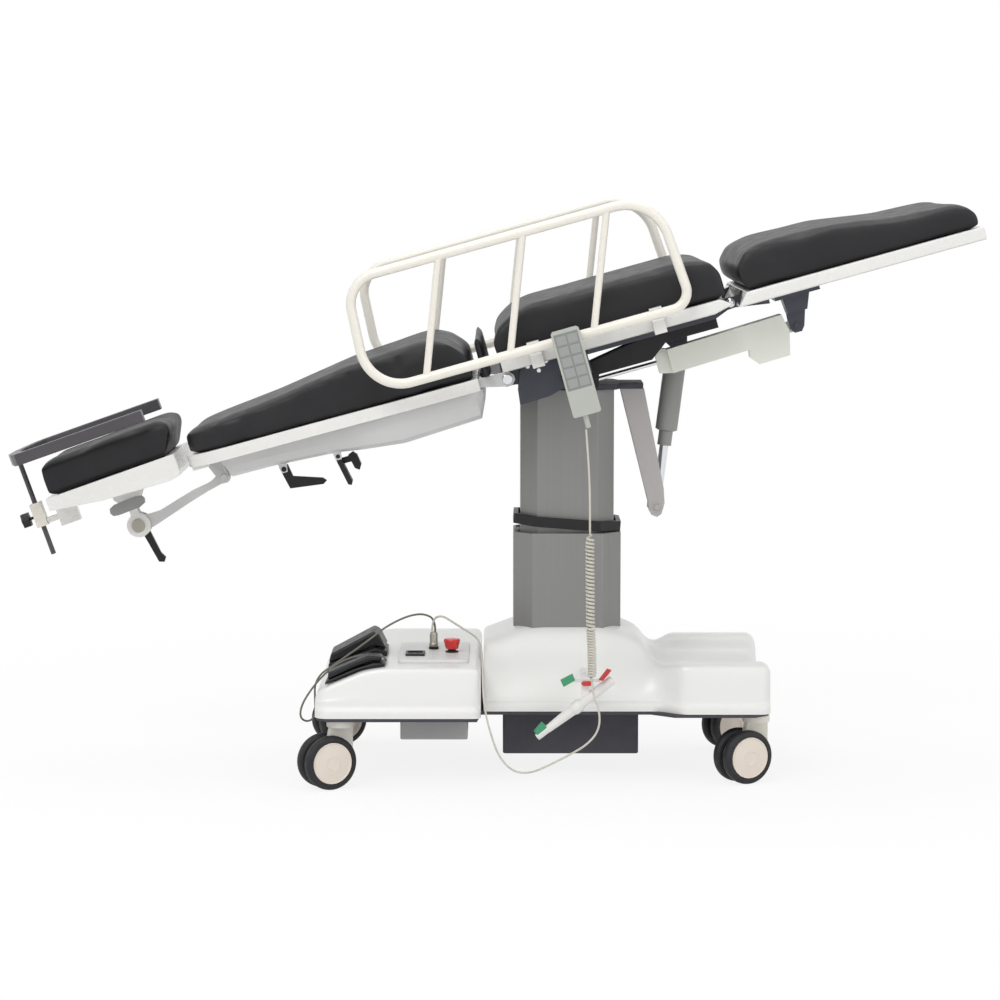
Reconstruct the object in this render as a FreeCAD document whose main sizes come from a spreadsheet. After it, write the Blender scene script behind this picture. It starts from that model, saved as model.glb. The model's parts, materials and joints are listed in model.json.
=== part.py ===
import FreeCAD, Part
import math
import os

import Sketcher

# Electric operating table, as photographed: column raised, bed tilted head down.
# World frame: origin on the floor under the column axis, +X towards the foot end,
# -Y towards the side that carries the hand control, +Z up. Millimetres and degrees.

SIZES = (
    ("bed_tilt", 15.5),
    ("pivot_height", 798),
    ("pad_gap", 0.3),
    ("run_gap", 0.3),
    ("pin_gap", 0.05),
    ("link_gap", 4),
    ("seat_half", 262),
    ("seat_left", -126),
    ("seat_right", 340),
    ("tray_low", 45),
    ("tray_top", 70),
    ("tray_wall", 4),
    ("frame_low", 30),
    ("back_arm_side", 186),
    ("seat_pad_top", 155),
    ("leg_hinge_x", 340),
    ("leg_hinge_z", 53),
    ("leg_left", 354),
    ("leg_right", 842),
    ("leg_pad_top", 151),
    ("leg_end_top", 118),
    ("back_hinge_x", -116),
    ("back_hinge_z", 27),
    ("back_right", -170),
    ("back_left", -766),
    ("back_low", 22),
    ("back_top", 46),
    ("back_pad_top", 139),
    ("back_end_top", 90),
    ("back_half_wide", 236),
    ("back_half_thin", 196),
    ("shroud_wall", 4),
    ("arm_hinge_x", -718),
    ("arm_hinge_z", -22),
    ("head_hub_x", -909),
    ("head_hub_z", -70),
    ("head_drop", 4),
    ("head_left", -138),
    ("head_right", 126),
    ("head_half", 138),
    ("head_pad_low", 118),
    ("head_pad_top", 188),
    ("hub_radius", 24),
    ("head_pin_radius", 7),
    ("wrist_half", 150),
    ("wrist_height", 210),
    ("wrist_bar_wide", 24),
    ("wrist_bar_high", 23),
    ("wrist_reach", 102),
    ("wrist_out", -184),
    ("wrist_post_radius", 5),
    ("wrist_post_low", 2),
    ("rail_side", 290),
    ("rail_radius", 9.5),
    ("rail_bar_radius", 7),
    ("rail_low", 77),
    ("rail_top", 295),
    ("cheek_thick", 8),
    ("cheek_out", 185),
    ("shaft_radius", 14),
    ("column_half", 93),
    ("column_deep", 79),
    ("column_cut", 33),
    ("column_wall", 5),
    ("column_low", 372),
    ("column_top", 764),
    ("sleeve_half", 107),
    ("sleeve_deep", 93),
    ("sleeve_wall", 6),
    ("sleeve_top", 480),
    ("ring_height", 20),
    ("ring_centre", 498.6),
    ("ring_slant", 4.4),
     ("chassis_low", 134),
    ("chassis_top", 141),
    ("cover_wall", 4),
    ("cover_top", 238),
    ("left_end", -493),
    ("left_edge", -174),
    ("left_half", 277),
    ("main_edge", -170),
    ("waist_half", 194),
    ("arch_half", 112),
    ("arch_top", 294),
    ("right_edge", 395),
    ("right_half", 230),
    ("panel_thick", 6),
    ("stop_x", -229),
    ("stop_y", -100),
    ("plug_x", -266),
    ("plug_y", -60),
    ("brake_x", 31),
    ("brake_z", 216),
    ("brake_shaft", 7),
    ("wheel_radius", 53),
    ("wheel_width", 21),
    ("wheel_offset", 17.5),
    ("caster_turn", 28),
    ("caster_trail", 30),
    ("left_caster_x", -444),
    ("left_caster_y", 236),
    ("right_caster_x", 369),
    ("right_caster_y", 178),
    ("arm_pin_x", 180),
    ("arm_pin_z", 527),
    ("arm_pin_radius", 6),
    ("torque_gap", 30),
    ("torque_thick", 8),
    ("tilt_lug_x", 229),
    ("tilt_lug_z", -4),
    ("lug_pin_radius", 6),
    ("tilt_rod_radius", 9),
    ("tilt_body_radius", 22),
    ("leg_pin_x", 455),
    ("leg_pin_z", -26),
    ("leg_drive_y", -125),
    ("leg_rod_radius", 3.5),
    ("control_long", 168),
    ("control_wide", 55),
    ("control_thick", 24),
    ("control_side", 302),
    ("hand_lead", 4),
    ("foot_lead", 4),
    ("curl_wide", 18),
)

# Where the rail feet stand along the bed, and how wide each one is
RAIL_FEET = (-62, 180)
RAIL_FOOT = 24


class Size:
    """A length or angle: its number and the sheet formula that gives it."""

    def __init__(self, number, formula):
        self.number = float(number)
        self.formula = formula

    def __add__(self, other):
        other = as_size(other)
        return Size(self.number + other.number, "(%s + %s)" % (self.formula, other.formula))

    def __sub__(self, other):
        other = as_size(other)
        return Size(self.number - other.number, "(%s - %s)" % (self.formula, other.formula))

    def __mul__(self, other):
        other = as_size(other)
        return Size(self.number * other.number, "(%s * %s)" % (self.formula, other.formula))

    def __truediv__(self, other):
        other = as_size(other)
        return Size(self.number / other.number, "(%s / %s)" % (self.formula, other.formula))

    def __radd__(self, other):
        return as_size(other) + self

    def __rsub__(self, other):
        return as_size(other) - self

    def __rmul__(self, other):
        return as_size(other) * self

    def __neg__(self):
        return as_size(0) - self

    def __float__(self):
        return self.number


def as_size(value):
    if isinstance(value, Size):
        return value
    return Size(value, "(%.6f)" % value)


def sine(angle):
    return Size(math.sin(math.radians(angle.number)), "sin(%s)" % angle.formula)


def cosine(angle):
    return Size(math.cos(math.radians(angle.number)), "cos(%s)" % angle.formula)


def fill_sheet(doc):
    sheet = doc.addObject("Spreadsheet::Sheet", "Sizes")
    for row, (alias, value) in enumerate(SIZES, start=1):
        sheet.set("A%d" % row, alias)
        sheet.set("B%d" % row, str(value))
        sheet.setAlias("B%d" % row, alias)
    doc.recompute()
    return sheet


class Dimensions:
    """Gives each sheet cell by its alias, as a Size."""

    def __init__(self, sheet):
        for alias, _ in SIZES:
            setattr(self, alias, Size(sheet.get(alias), "Sizes." + alias))


DOC = FreeCAD.newDocument("OperatingTable")
D = Dimensions(fill_sheet(DOC))
PARTS = []


def bind(thing, name, value):
    """Tie a property to the sheet, or set it where it is a plain number."""
    if isinstance(value, Size):
        thing.setExpression(name, value.formula)


class Frame:
    """A place for a sub-part: a base point and one turn about an axis."""

    def __init__(self, base=(0, 0, 0), axis=(0, 0, 1), angle=0):
        self.base = base
        self.axis = axis
        self.angle = angle

    def apply(self, piece):
        start = FreeCAD.Vector(*[float(value) for value in self.base])
        turn = FreeCAD.Rotation(FreeCAD.Vector(*self.axis), float(self.angle))
        piece.Placement = FreeCAD.Placement(start, turn)
        for letter, value in zip("xyz", self.base):
            bind(piece, "Placement.Base." + letter, value)
        bind(piece, "Placement.Rotation.Angle", self.angle)


def in_bed(across, up):
    """World place of a point given along and square to the bed, from the tilt pivot."""
    lean = D.bed_tilt
    return (across * cosine(lean) - up * sine(lean), 0,
            D.pivot_height + across * sine(lean) + up * cosine(lean))


WORLD = Frame()
BED = Frame((0, 0, D.pivot_height), (0, -1, 0), D.bed_tilt)
HEAD = Frame(in_bed(D.head_hub_x, D.head_hub_z), (0, -1, 0), D.bed_tilt + D.head_drop)


def keep(piece, label, frame=WORLD):
    """Name a finished sub-part and put it in its place."""
    piece.Label = label
    frame.apply(piece)
    PARTS.append(piece)
    return piece


def new_body(name):
    return DOC.addObject("PartDesign::Body", name)


def origin_plane(body, role):
    for feature in body.Origin.OriginFeatures:
        if feature.Role == role:
            return feature
    raise ValueError(role)


def blank_sketch(body, role, offset):
    sketch = body.newObject("Sketcher::SketchObject", "Outline")
    sketch.AttachmentSupport = (origin_plane(body, role), [""])
    sketch.MapMode = "FlatFace"
    shift = FreeCAD.Vector(0, 0, float(offset))
    sketch.AttachmentOffset = FreeCAD.Placement(shift, FreeCAD.Rotation())
    bind(sketch, "AttachmentOffset.Base.z", offset)
    return sketch


def fix_point(sketch, edge, end, point):
    """Hold one end of an edge by its two distances from the sketch origin."""
    for kind, value in zip(("DistanceX", "DistanceY"), point):
        rule = Sketcher.Constraint(kind, -1, 1, edge, end, float(value))
        index = sketch.addConstraint(rule)
        bind(sketch, "Constraints[%d]" % index, value)


def add_loop(sketch, points):
    """A closed outline of straight edges."""
    first = sketch.GeometryCount
    count = len(points)
    ends = [FreeCAD.Vector(float(x), float(y), 0) for x, y in points]
    for index in range(count):
        sketch.addGeometry(Part.LineSegment(ends[index], ends[(index + 1) % count]), False)
    for index in range(count):
        follower = first + (index + 1) % count
        sketch.addConstraint(Sketcher.Constraint("Coincident", first + index, 2, follower, 1))
    for index in range(count):
        fix_point(sketch, first + index, 1, points[index])


def add_circle(sketch, centre, radius):
    middle = FreeCAD.Vector(float(centre[0]), float(centre[1]), 0)
    circle = Part.Circle(middle, FreeCAD.Vector(0, 0, 1), float(radius))
    edge = sketch.addGeometry(circle, False)
    fix_point(sketch, edge, 3, centre)
    index = sketch.addConstraint(Sketcher.Constraint("Radius", edge, float(radius)))
    bind(sketch, "Constraints[%d]" % index, radius)


def outline(body, role, loops=(), circles=(), offset=0):
    """A sketch on one of the body's own planes from loops of points and circles."""
    sketch = blank_sketch(body, role, offset)
    for points in loops:
        add_loop(sketch, points)
    for centre, radius in circles:
        add_circle(sketch, centre, radius)
    return sketch


def pad(body, sketch, length, symmetric=False, reverse=False):
    feature = body.newObject("PartDesign::Pad", "Pad")
    feature.Profile = sketch
    feature.Length = float(length)
    bind(feature, "Length", length)
    if symmetric:
        feature.SideType = "Symmetric"
    feature.Reversed = reverse
    DOC.recompute()
    return feature


def pocket(body, sketch, length, symmetric=False, reverse=False):
    """Cut an outline away, and make sure that the cut meets the solid."""
    before = body.Shape.Volume
    feature = body.newObject("PartDesign::Pocket", "Pocket")
    feature.Profile = sketch
    feature.Length = float(length)
    bind(feature, "Length", length)
    if symmetric:
        feature.SideType = "Symmetric"
    feature.Reversed = reverse
    DOC.recompute()
    if not body.Shape.Volume < before:
        raise ValueError("a pocket of %s cuts nothing" % body.Name)
    return feature


def revolve(body, sketch, axis="V_Axis"):
    feature = body.newObject("PartDesign::Revolution", "Revolution")
    feature.Profile = sketch
    feature.ReferenceAxis = (sketch, [axis])
    feature.Angle = 360
    DOC.recompute()
    return feature


def loft(body, sketches):
    feature = body.newObject("PartDesign::AdditiveLoft", "Loft")
    feature.Profile = sketches[0]
    feature.Sections = sketches[1:]
    feature.Ruled = True
    DOC.recompute()
    return feature


def round_edges(body, radius, choose):
    """Fillet the edges of the body that a test picks by direction and middle."""
    tip = body.Tip
    names = []
    for index, edge in enumerate(tip.Shape.Edges, start=1):
        if len(edge.Vertexes) < 2:
            continue
        run = edge.Vertexes[-1].Point - edge.Vertexes[0].Point
        if run.Length > 0 and choose(run.normalize(), edge.CenterOfMass):
            names.append("Edge%d" % index)
    if not names:
        raise ValueError("no edge of %s to round" % body.Name)
    feature = body.newObject("PartDesign::Fillet", "Fillet")
    feature.Base = (tip, names)
    feature.Radius = float(radius)
    bind(feature, "Radius", radius)
    DOC.recompute()
    return feature


def rod_shape(start, end, radius):
    """A round bar between two points."""
    start = FreeCAD.Vector(*[float(value) for value in start])
    end = FreeCAD.Vector(*[float(value) for value in end])
    return Part.makeCylinder(float(radius), (end - start).Length, start, end - start)


def primitive(kind, name, sizes, base=(0, 0, 0), axis=(0, 0, 1), angle=0):
    """A Part primitive with its sizes and base bound to the sheet."""
    thing = DOC.addObject(kind, name)
    for prop, value in sizes.items():
        setattr(thing, prop, float(value))
        bind(thing, prop, value)
    Frame(base, axis, angle).apply(thing)
    return thing


def bar(name, low, high):
    """A box between two corners."""
    sizes = {prop: as_size(b) - as_size(a) for prop, a, b in zip(("Length", "Width", "Height"), low, high)}
    return primitive("Part::Box", name, sizes, low)


def pin(name, radius, base, length, along="y"):
    """A cylinder that starts at base and runs along one axis."""
    axis, angle = {"x": ((0, 1, 0), 90), "y": ((-1, 0, 0), 90), "z": ((0, 0, 1), 0)}[along]
    return primitive("Part::Cylinder", name, {"Radius": radius, "Height": length}, base, axis, angle)


def fuse(name, things):
    joined = DOC.addObject("Part::MultiFuse", name)
    joined.Shapes = things
    joined.Refine = True
    return joined


def cut(name, base, tools):
    tool = tools[0] if len(tools) == 1 else fuse(name + "_tools", tools)
    result = DOC.addObject("Part::Cut", name)
    result.Base = base
    result.Tool = tool
    return result


def group(name, things):
    """Separate solids that share one node."""
    joined = DOC.addObject("Part::Compound", name)
    joined.Links = things
    return joined


def octagon(half_x, half_y, corner):
    """Plan of the column extrusions: a rectangle with its corners cut at 45 degrees."""
    points = []
    for sign_x, sign_y, order in ((1, 1, 0), (-1, 1, 1), (-1, -1, 0), (1, -1, 1)):
        on_side = (sign_x * half_x, sign_y * (half_y - corner))
        on_end = (sign_x * (half_x - corner), sign_y * half_y)
        points += [on_end, on_side] if order else [on_side, on_end]
    return points


def rectangle(x0, x1, y0, y1):
    return [(x0, y0), (x1, y0), (x1, y1), (x0, y1)]


def route_wire(points, bends=None, closed=False):
    """Straight runs joined by tangent arcs. A free cord's arcs are as large as
    their two runs allow, other bends take the radii given, one for each corner."""
    places = [FreeCAD.Vector(*[float(value) for value in point]) for point in points]
    count = len(places)
    corners = range(count) if closed else range(1, count - 1)
    cuts = {}
    radii = []
    for index in corners:
        here = places[index]
        before = places[index - 1] - here
        after = places[(index + 1) % count] - here
        turn = math.pi - before.getAngle(after)
        if bends is None:
            back = 0.45 * min(before.Length, after.Length)
        else:
            back = float(bends[len(radii)]) * math.tan(turn / 2)
        radii.append(back / math.tan(turn / 2))
        start = here + before.normalize() * back
        end = here + after.normalize() * back
        to_middle = (before + after).normalize()
        middle = here + to_middle * (radii[-1] / math.cos(turn / 2) - radii[-1])
        cuts[index] = (start, Part.Arc(start, middle, end).toShape(), end)
    edges = []
    at = cuts[0][2] if closed else places[0]
    for index in (list(range(1, count)) + [0] if closed else range(1, count)):
        stop = cuts[index][0] if index in cuts else places[index]
        edges.append(Part.LineSegment(at, stop).toShape())
        if index in cuts:
            edges.append(cuts[index][1])
            at = cuts[index][2]
    return Part.Wire(edges), radii


def tube_shape(points, radius, bends=None, closed=False):
    """A round tube or rod along a route."""
    wire, radii = route_wire(points, bends, closed)
    start = wire.Edges[0].Vertexes[0].Point
    along = wire.Edges[0].tangentAt(wire.Edges[0].FirstParameter)
    section = Part.Wire(Part.makeCircle(float(radius), start, along))
    solid = wire.makePipeShell([section], True, False)
    return solid, wire, radii


def shaped(label, shape, frame=WORLD):
    """A sub-part whose shape comes from Part's own functions."""
    feature = DOC.addObject("Part::Feature", label)
    feature.Shape = shape
    return keep(feature, label, frame)


def both_sides(points):
    """Close an outline given on its positive side, by its mirror image."""
    return points + [(x, -y) for x, y in reversed(points)]


def both_flanks(points):
    """Close a section given from the foot of its positive flank up to its middle."""
    return points + [(-y, z) for y, z in reversed(points)]


def trimmed_block(name, side, half, section):
    """A long block with a side outline, trimmed to a section symmetric in Y."""
    body = new_body(name)
    pad(body, outline(body, "XZ_Plane", [side]), 2 * half, symmetric=True)
    edge = half + 5
    waste = section + [(edge, section[-1][1]), (edge, section[0][1])]
    mirror = [(-y, z) for y, z in waste]
    pocket(body, outline(body, "YZ_Plane", [waste, mirror]), 3000, symmetric=True)
    return body


def turn_corners(body, end, half, size, inward):
    """Take the two upright corners off an end of a block, in three facets each."""
    near = 0.3 * size
    waste = [(end - inward * 5, half + 5), (end - inward * 5, half - size), (end, half - size),
             (end + inward * near, half - near), (end + inward * size, half),
             (end + inward * size, half + 5)]
    mirror = [(x, -y) for x, y in waste]
    pocket(body, outline(body, "XY_Plane", [waste, mirror]), 3000, symmetric=True)


# Base


def make_chassis():
    body = new_body("chassis")
    edge = D.left_half - 2
    waist = D.waist_half - 2
    tail = D.right_half - 2
    plan = both_sides([
        (D.left_end + 3, edge - 24), (D.left_end + 24, edge),
        (D.left_edge - 4, edge), (D.main_edge, waist),
        (D.arch_half + 50, waist), (D.arch_half + 95, tail),
        (D.right_edge - 30, tail), (D.right_edge - 3, tail - 26)])
    pad(body, outline(body, "XY_Plane", [plan], offset=D.chassis_low), D.chassis_top - D.chassis_low)
    return keep(body, "chassis")


def make_left_cover():
    low = D.chassis_top
    top = D.cover_top
    left = D.left_end
    side = [(left, low), (D.left_edge, low), (D.left_edge, top), (left + 135, top),
            (left + 96, top - 6), (left + 22, top - 37), (left + 6, top - 42), (left, top - 60)]
    section = [(D.left_half + 0.1, low + 12), (D.left_half - 6, low + 24), (D.left_half - 11, top - 22),
               (D.left_half - 30, top + 1)]
    outer = trimmed_block("left_cover_form", side, D.left_half, section)
    turn_corners(outer, left, D.left_half, 26, 1)
    wall = D.cover_wall
    inside = [(left + wall, low - 5), (D.left_edge - wall, low - 5), (D.left_edge - wall, top - wall),
              (left + 136, top - wall), (left + 98, top - 6 - wall), (left + 24, top - 37 - wall),
              (left + 8, top - 45 - wall)]
    core_section = [(D.left_half - 30.1, low - 6), (D.left_half - 30, low + 30), (D.left_half - 38, top - 18)]
    core = trimmed_block("left_cover_core", inside, D.left_half - 30, core_section)
    return keep(cut("left_cover_shell", outer, [core]), "left_cover")


def make_main_cover():
    low = D.chassis_top
    left = D.main_edge
    half = D.arch_half
    top = D.arch_top
    waist = D.waist_half
    side = [(left, low), (half + 92, low), (half + 76, low + 88), (half + 56, low + 122),
            (half + 4, top - 2), (half - 60, top + 3), (-half + 60, top + 3), (-half + 4, top - 5),
            (left + 18, low + 114), (left, low + 106)]
    section = [(waist + 0.1, low + 14), (waist - 6, low + 26), (waist - 40, low + 78),
               (D.sleeve_deep + 26, top - 40), (D.sleeve_deep + 8, top + 4)]
    arch = trimmed_block("arch_form", side, waist, section)
    tail = new_body("tail_form")
    end = D.right_half
    start = half + 60
    crest = D.cover_top
    hump = [(end, low), (end, low + 12), (end - 5, low + 22), (end - 8, crest - 20),
            (end - 22, crest), (end - 58, crest), (end - 84, crest - 26), (0, crest - 40)]
    pad(tail, outline(tail, "YZ_Plane", [hump + [(-y, z) for y, z in reversed(hump[:-1])]], offset=start),
        D.right_edge - start)
    waste = [(start - 5, waist - 6), (start + 8, waist - 6), (start + 52, end + 0.1), (start + 52, end + 5),
             (start - 5, end + 5)]
    mirror = [(x, -y) for x, y in waste]
    pocket(tail, outline(tail, "XY_Plane", [waste, mirror]), 1000, symmetric=True)
    turn_corners(tail, D.right_edge, end, 22, -1)
    wall = D.cover_wall
    arch_core = bar("arch_core", (left + wall, -(waist - 46), low - 5), (start + 30, waist - 46, low + 70))
    tail_core = bar("tail_core", (start - 10, -(waist - 30), low - 5),
                    (D.right_edge - 26, waist - 30, crest - 46))
    gap = D.run_gap
    well = bar("column_well", (-D.sleeve_half - gap, -D.sleeve_deep - gap, low),
               (D.sleeve_half + gap, D.sleeve_deep + gap, top + 20))
    form = fuse("main_cover_form", [arch, tail])
    bore = pin("brake_bore", D.brake_shaft + D.pin_gap, (D.brake_x, -waist - 20, D.brake_z - 1), 98)
    return keep(cut("main_cover_shell", form, [arch_core, tail_core, well, bore]), "main_cover")


def make_control_panel():
    body = new_body("control_panel")
    low = D.cover_top
    plan = rectangle(D.left_edge - 159, D.left_edge - 21, -200, 30)
    pad(body, outline(body, "XY_Plane", [plan], offset=low), D.panel_thick)
    round_edges(body, 8, lambda run, mid: abs(run.z) > 0.9)
    holes = outline(body, "XY_Plane", circles=[((D.stop_x, D.stop_y), 8.5)], offset=low + D.panel_thick)
    pocket(body, holes, D.panel_thick - 1)
    return keep(body, "control_panel")


def make_panel_fittings():
    top = D.cover_top + D.panel_thick
    inlet = bar("inlet_frame", (D.left_edge - 146, -151, top), (D.left_edge - 108, -103, top + 4))
    mouth = bar("inlet_mouth", (D.left_edge - 141, -146, top + 1), (D.left_edge - 113, -108, top + 5))
    blades = [bar("inlet_blade_%d" % index, (D.left_edge - 134 + 10 * index, -129, top + 1),
                  (D.left_edge - 132 + 10 * index, -123, top + 3.5)) for index in range(2)]
    shell = cut("inlet_shell", inlet, [mouth])
    rim = pin("stop_rim", 13, (D.stop_x, D.stop_y, top), 3, "z")
    bore = pin("stop_bore", 8.5, (D.stop_x, D.stop_y, top - 1), 8, "z")
    collar = cut("stop_collar", rim, [bore])
    socket = pin("cord_socket", 10, (D.plug_x, D.plug_y, top), 5, "z")
    return keep(group("fittings", [shell] + blades + [collar, socket]), "panel_fittings")


def make_stop_button():
    body = new_body("stop_button")
    low = D.cover_top + 4
    cap = D.cover_top + D.panel_thick + 7
    profile = [(0, low), (8, low), (8, cap), (12.5, cap), (16.5, cap + 17), (15, cap + 20), (0, cap + 21)]
    revolve(body, outline(body, "XZ_Plane", [profile]))
    return keep(body, "stop_button", Frame((D.stop_x, D.stop_y, 0)))


def make_cord_plug():
    body = new_body("cord_plug")
    low = D.cover_top + D.panel_thick + 5
    profile = [(0, low), (9, low), (9, low + 6), (8, low + 8), (8, low + 24), (6, low + 30), (0, low + 30)]
    revolve(body, outline(body, "XZ_Plane", [profile]))
    return keep(body, "cord_plug", Frame((D.plug_x, D.plug_y, 0)))


def make_column_glides():
    """Plastic pads at the sleeve's mouth, on which the upper column runs."""
    top = D.sleeve_top
    gap = D.run_gap
    near = D.column_deep + gap
    far = D.sleeve_deep - D.sleeve_wall
    pads = []
    for side in (-1, 1):
        lows, highs = (near, far) if side > 0 else (-far, -near)
        pads.append(bar("glide_flank_%d" % len(pads), (-30, lows, top - 60), (30, highs, top)))
        near_x = D.column_half + gap
        far_x = D.sleeve_half - D.sleeve_wall
        lows, highs = (near_x, far_x) if side > 0 else (-far_x, -near_x)
        pads.append(bar("glide_end_%d" % len(pads), (lows, -25, top - 60), (highs, 25, top)))
    return pads


def make_lower_column():
    low = D.chassis_top
    outer = new_body("sleeve_outer")
    plan = octagon(D.sleeve_half, D.sleeve_deep, D.column_cut + 4)
    pad(outer, outline(outer, "XY_Plane", [plan], offset=low), D.sleeve_top - low)
    wall = D.sleeve_wall
    inner = octagon(D.sleeve_half - wall, D.sleeve_deep - wall, D.column_cut)
    pocket(outer, outline(outer, "XY_Plane", [inner], offset=D.sleeve_top), D.sleeve_top - low - 8)
    return keep(group("sleeve_and_glides", [outer] + make_column_glides()), "lower_column")


def make_column_ring():
    body = new_body("column_ring")
    gap = 4
    plan = octagon(D.column_half + 14, D.column_deep + 14, D.column_cut + 8)
    pad(body, outline(body, "XY_Plane", [plan], offset=-D.ring_height / 2), D.ring_height)
    inner = octagon(D.column_half + gap, D.column_deep + gap, D.column_cut + 2)
    pocket(body, outline(body, "XY_Plane", [inner], offset=D.ring_height / 2), D.ring_height + 1)
    return keep(body, "column_ring", Frame((0, 0, D.ring_centre), (0, 1, 0), D.ring_slant))


def make_under_boxes():
    """Control box and battery box, hung under the chassis."""
    low = D.chassis_low
    box = bar("control_box", (D.left_edge - 155, -200, low - 48), (D.left_edge - 23, -60, low))
    body = new_body("battery_box")
    plan = rectangle(-128, 141, -120, 120)
    pad(body, outline(body, "XY_Plane", [plan], offset=low - 91), 91)
    round_edges(body, 6, lambda run, mid: abs(run.z) > 0.9)
    return keep(group("boxes", [box, body]), "under_boxes")


def make_caster(name, x, y, angle):
    """One twin caster: its hood turns on a kingpin, its two wheels on an axle."""
    reach = D.wheel_radius
    trail = D.caster_trail
    drop = D.chassis_low - D.pad_gap - reach
    inner = D.wheel_offset - D.wheel_width / 2 - 0.8
    hood = new_body(name + "_caster_hood")
    hood_side = [(-15, drop), (22, drop), (22, drop - 10), (trail + 12, -14), (trail, -22),
                 (trail - 16, -12), (-24, 24), (-24, drop - 10), (-24, drop)]
    pad(hood, outline(hood, "XZ_Plane", [hood_side]), 2 * inner, symmetric=True)
    flange = outline(hood, "XY_Plane", circles=[((0, 0), 27)], offset=drop - 14)
    pad(hood, flange, 14)
    axle = outline(hood, "XZ_Plane", circles=[((trail, 0), 6)])
    pad(hood, axle, 2 * D.wheel_offset + D.wheel_width - 4, symmetric=True)
    spot = Frame((x, y, reach), (0, 0, 1), angle)
    keep(hood, name + "_caster_housing", spot)
    pieces = []
    for side in (-1, 1):
        tread = new_body("%s_tread_%d" % (name, side + 1))
        half = D.wheel_width / 2
        ring = [(-half, reach - 12), (half, reach - 12), (half, reach - 4), (half - 4, reach),
                (4 - half, reach), (-half, reach - 4)]
        revolve(tread, outline(tread, "YZ_Plane", [ring]), "H_Axis")
        Frame((trail, side * D.wheel_offset, 0)).apply(tread)
        disc = new_body("%s_hub_%d" % (name, side + 1))
        bore = 6 + D.pin_gap
        face = half + 1 if side > 0 else half - 1
        back = half - 1 if side > 0 else half + 1
        hub = [(-back, bore), (face, bore), (face, reach - 16), (half - 1, reach - 12), (1 - half, reach - 12),
               (-back, reach - 16)]
        revolve(disc, outline(disc, "YZ_Plane", [hub]), "H_Axis")
        Frame((trail, side * D.wheel_offset, 0)).apply(disc)
        pieces += [tread, disc]
    return keep(group(name + "_wheel_pair", pieces), name + "_wheels", spot)


def make_foot_switch(name, y0, y1, base_side, tread_side):
    """One treadle, and the base that carries it on the left cover's ramp."""
    left = D.left_end
    low = D.cover_top
    middle = as_size((y0 + y1) / 2)
    base = new_body(name + "_switch_form")
    pad(base, outline(base, "XZ_Plane", [[(left + x, low + z) for x, z in base_side]], offset=-middle),
        y1 - y0, symmetric=True)
    tread = new_body(name + "_treadle_form")
    pad(tread, outline(tread, "XZ_Plane", [[(left + x, low + z) for x, z in tread_side]], offset=-middle),
        y1 - y0 - 6, symmetric=True)
    keep(tread, name + "_foot_pedal")
    return base


def make_foot_switches():
    """Two treadles on the ramp of the left cover; the far one stands higher."""
    near = make_foot_switch(
        "near", -246, -196,
        [(18, -36), (92, -6), (136, 0.3), (136, 7), (114, 7), (78, -4), (22, -28)],
        [(24, -26.7), (78, -1.5), (110, 10.4), (130, 11.6), (130, 19), (102, 21), (26, -12)])
    far = make_foot_switch(
        "far", -118, -18,
        [(18, -36), (92, -6), (136, 0.3), (136, 10), (114, 17), (20, -14)],
        [(20, -13.7), (112, 21.2), (134, 15), (120, 43), (108, 49), (24, 4)])
    return keep(group("switch_bases", [near, far]), "foot_switch_bases")


def side_form(name, points, middle, thick):
    """A body of even thickness, cut to a side outline in the XZ plane."""
    body = new_body(name)
    pad(body, outline(body, "XZ_Plane", [points], offset=-middle), thick, symmetric=True)
    return body


def make_brake():
    """Brake lever with its rocker bar on one shaft, and the pads that a foot steps on."""
    px = D.brake_x
    pz = D.brake_z
    y = -D.waist_half - 76
    tip_x = px - 93
    tip_z = pz - 112
    lean = 52.3
    stick = new_body("brake_stick")
    profile = [(0, 0), (6, 0), (7, 2), (7, 24), (7.6, 26), (10.5, 86), (13, 92), (13, 104), (9.5, 110),
               (9.5, 182), (8, 185), (0, 185)]
    revolve(stick, outline(stick, "XZ_Plane", [profile]))
    Frame((tip_x, y, tip_z), (0, 1, 0), lean).apply(stick)
    bent = [(px - 40, pz - 4), (px - 24, pz + 2), (px + 26, pz + 2), (px + 44, pz + 16), (px + 47, pz + 12),
            (px + 28, pz - 3), (px - 22, pz - 3), (px - 38, pz - 9)]
    rocker = side_form("brake_rocker", bent, y, 12)
    web = bar("brake_web", (px - 8, y - 5, pz - 46), (px + 8, y + 5, pz - 1))
    shaft = pin("brake_shaft", D.brake_shaft, (px, y + 3, pz - 1), 143, "y")
    keep(fuse("brake_form", [stick, rocker, web, shaft]), "brake_lever")
    front = y - 11
    release = [(px - 48, pz + 2), (px - 25, pz + 14), (px - 20, pz + 2), (px - 42, pz - 11)]
    lock = [(px + 26, pz + 3), (px + 42, pz + 24), (px + 50, pz + 21), (px + 34, pz + 1)]
    guard = [(px - 8, pz - 5), (px - 4, pz - 1), (px + 10, pz - 1), (px + 14, pz - 5), (px + 10, pz - 9),
             (px - 4, pz - 9)]
    pads = [side_form(name, points, front, 10)
            for name, points in (("release_pad", release), ("lock_pad", lock), ("guard_pad", guard))]
    toe = [(px - 99, pz - 99), (px - 84, pz - 82), (px - 74, pz - 91), (px - 90, pz - 109)]
    tip = side_form("tip_pad", toe, y, 12)
    core = new_body("tip_pad_core")
    revolve(core, outline(core, "XZ_Plane", [[(0, -5), (7, -5), (7, 24), (7.6, 26), (9, 56), (0, 56)]]))
    Frame((tip_x, y, tip_z), (0, 1, 0), lean).apply(core)
    return keep(group("brake_grips", pads + [cut("tip_pad_form", tip, [core])]), "brake_pads")


# Column and its head


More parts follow.
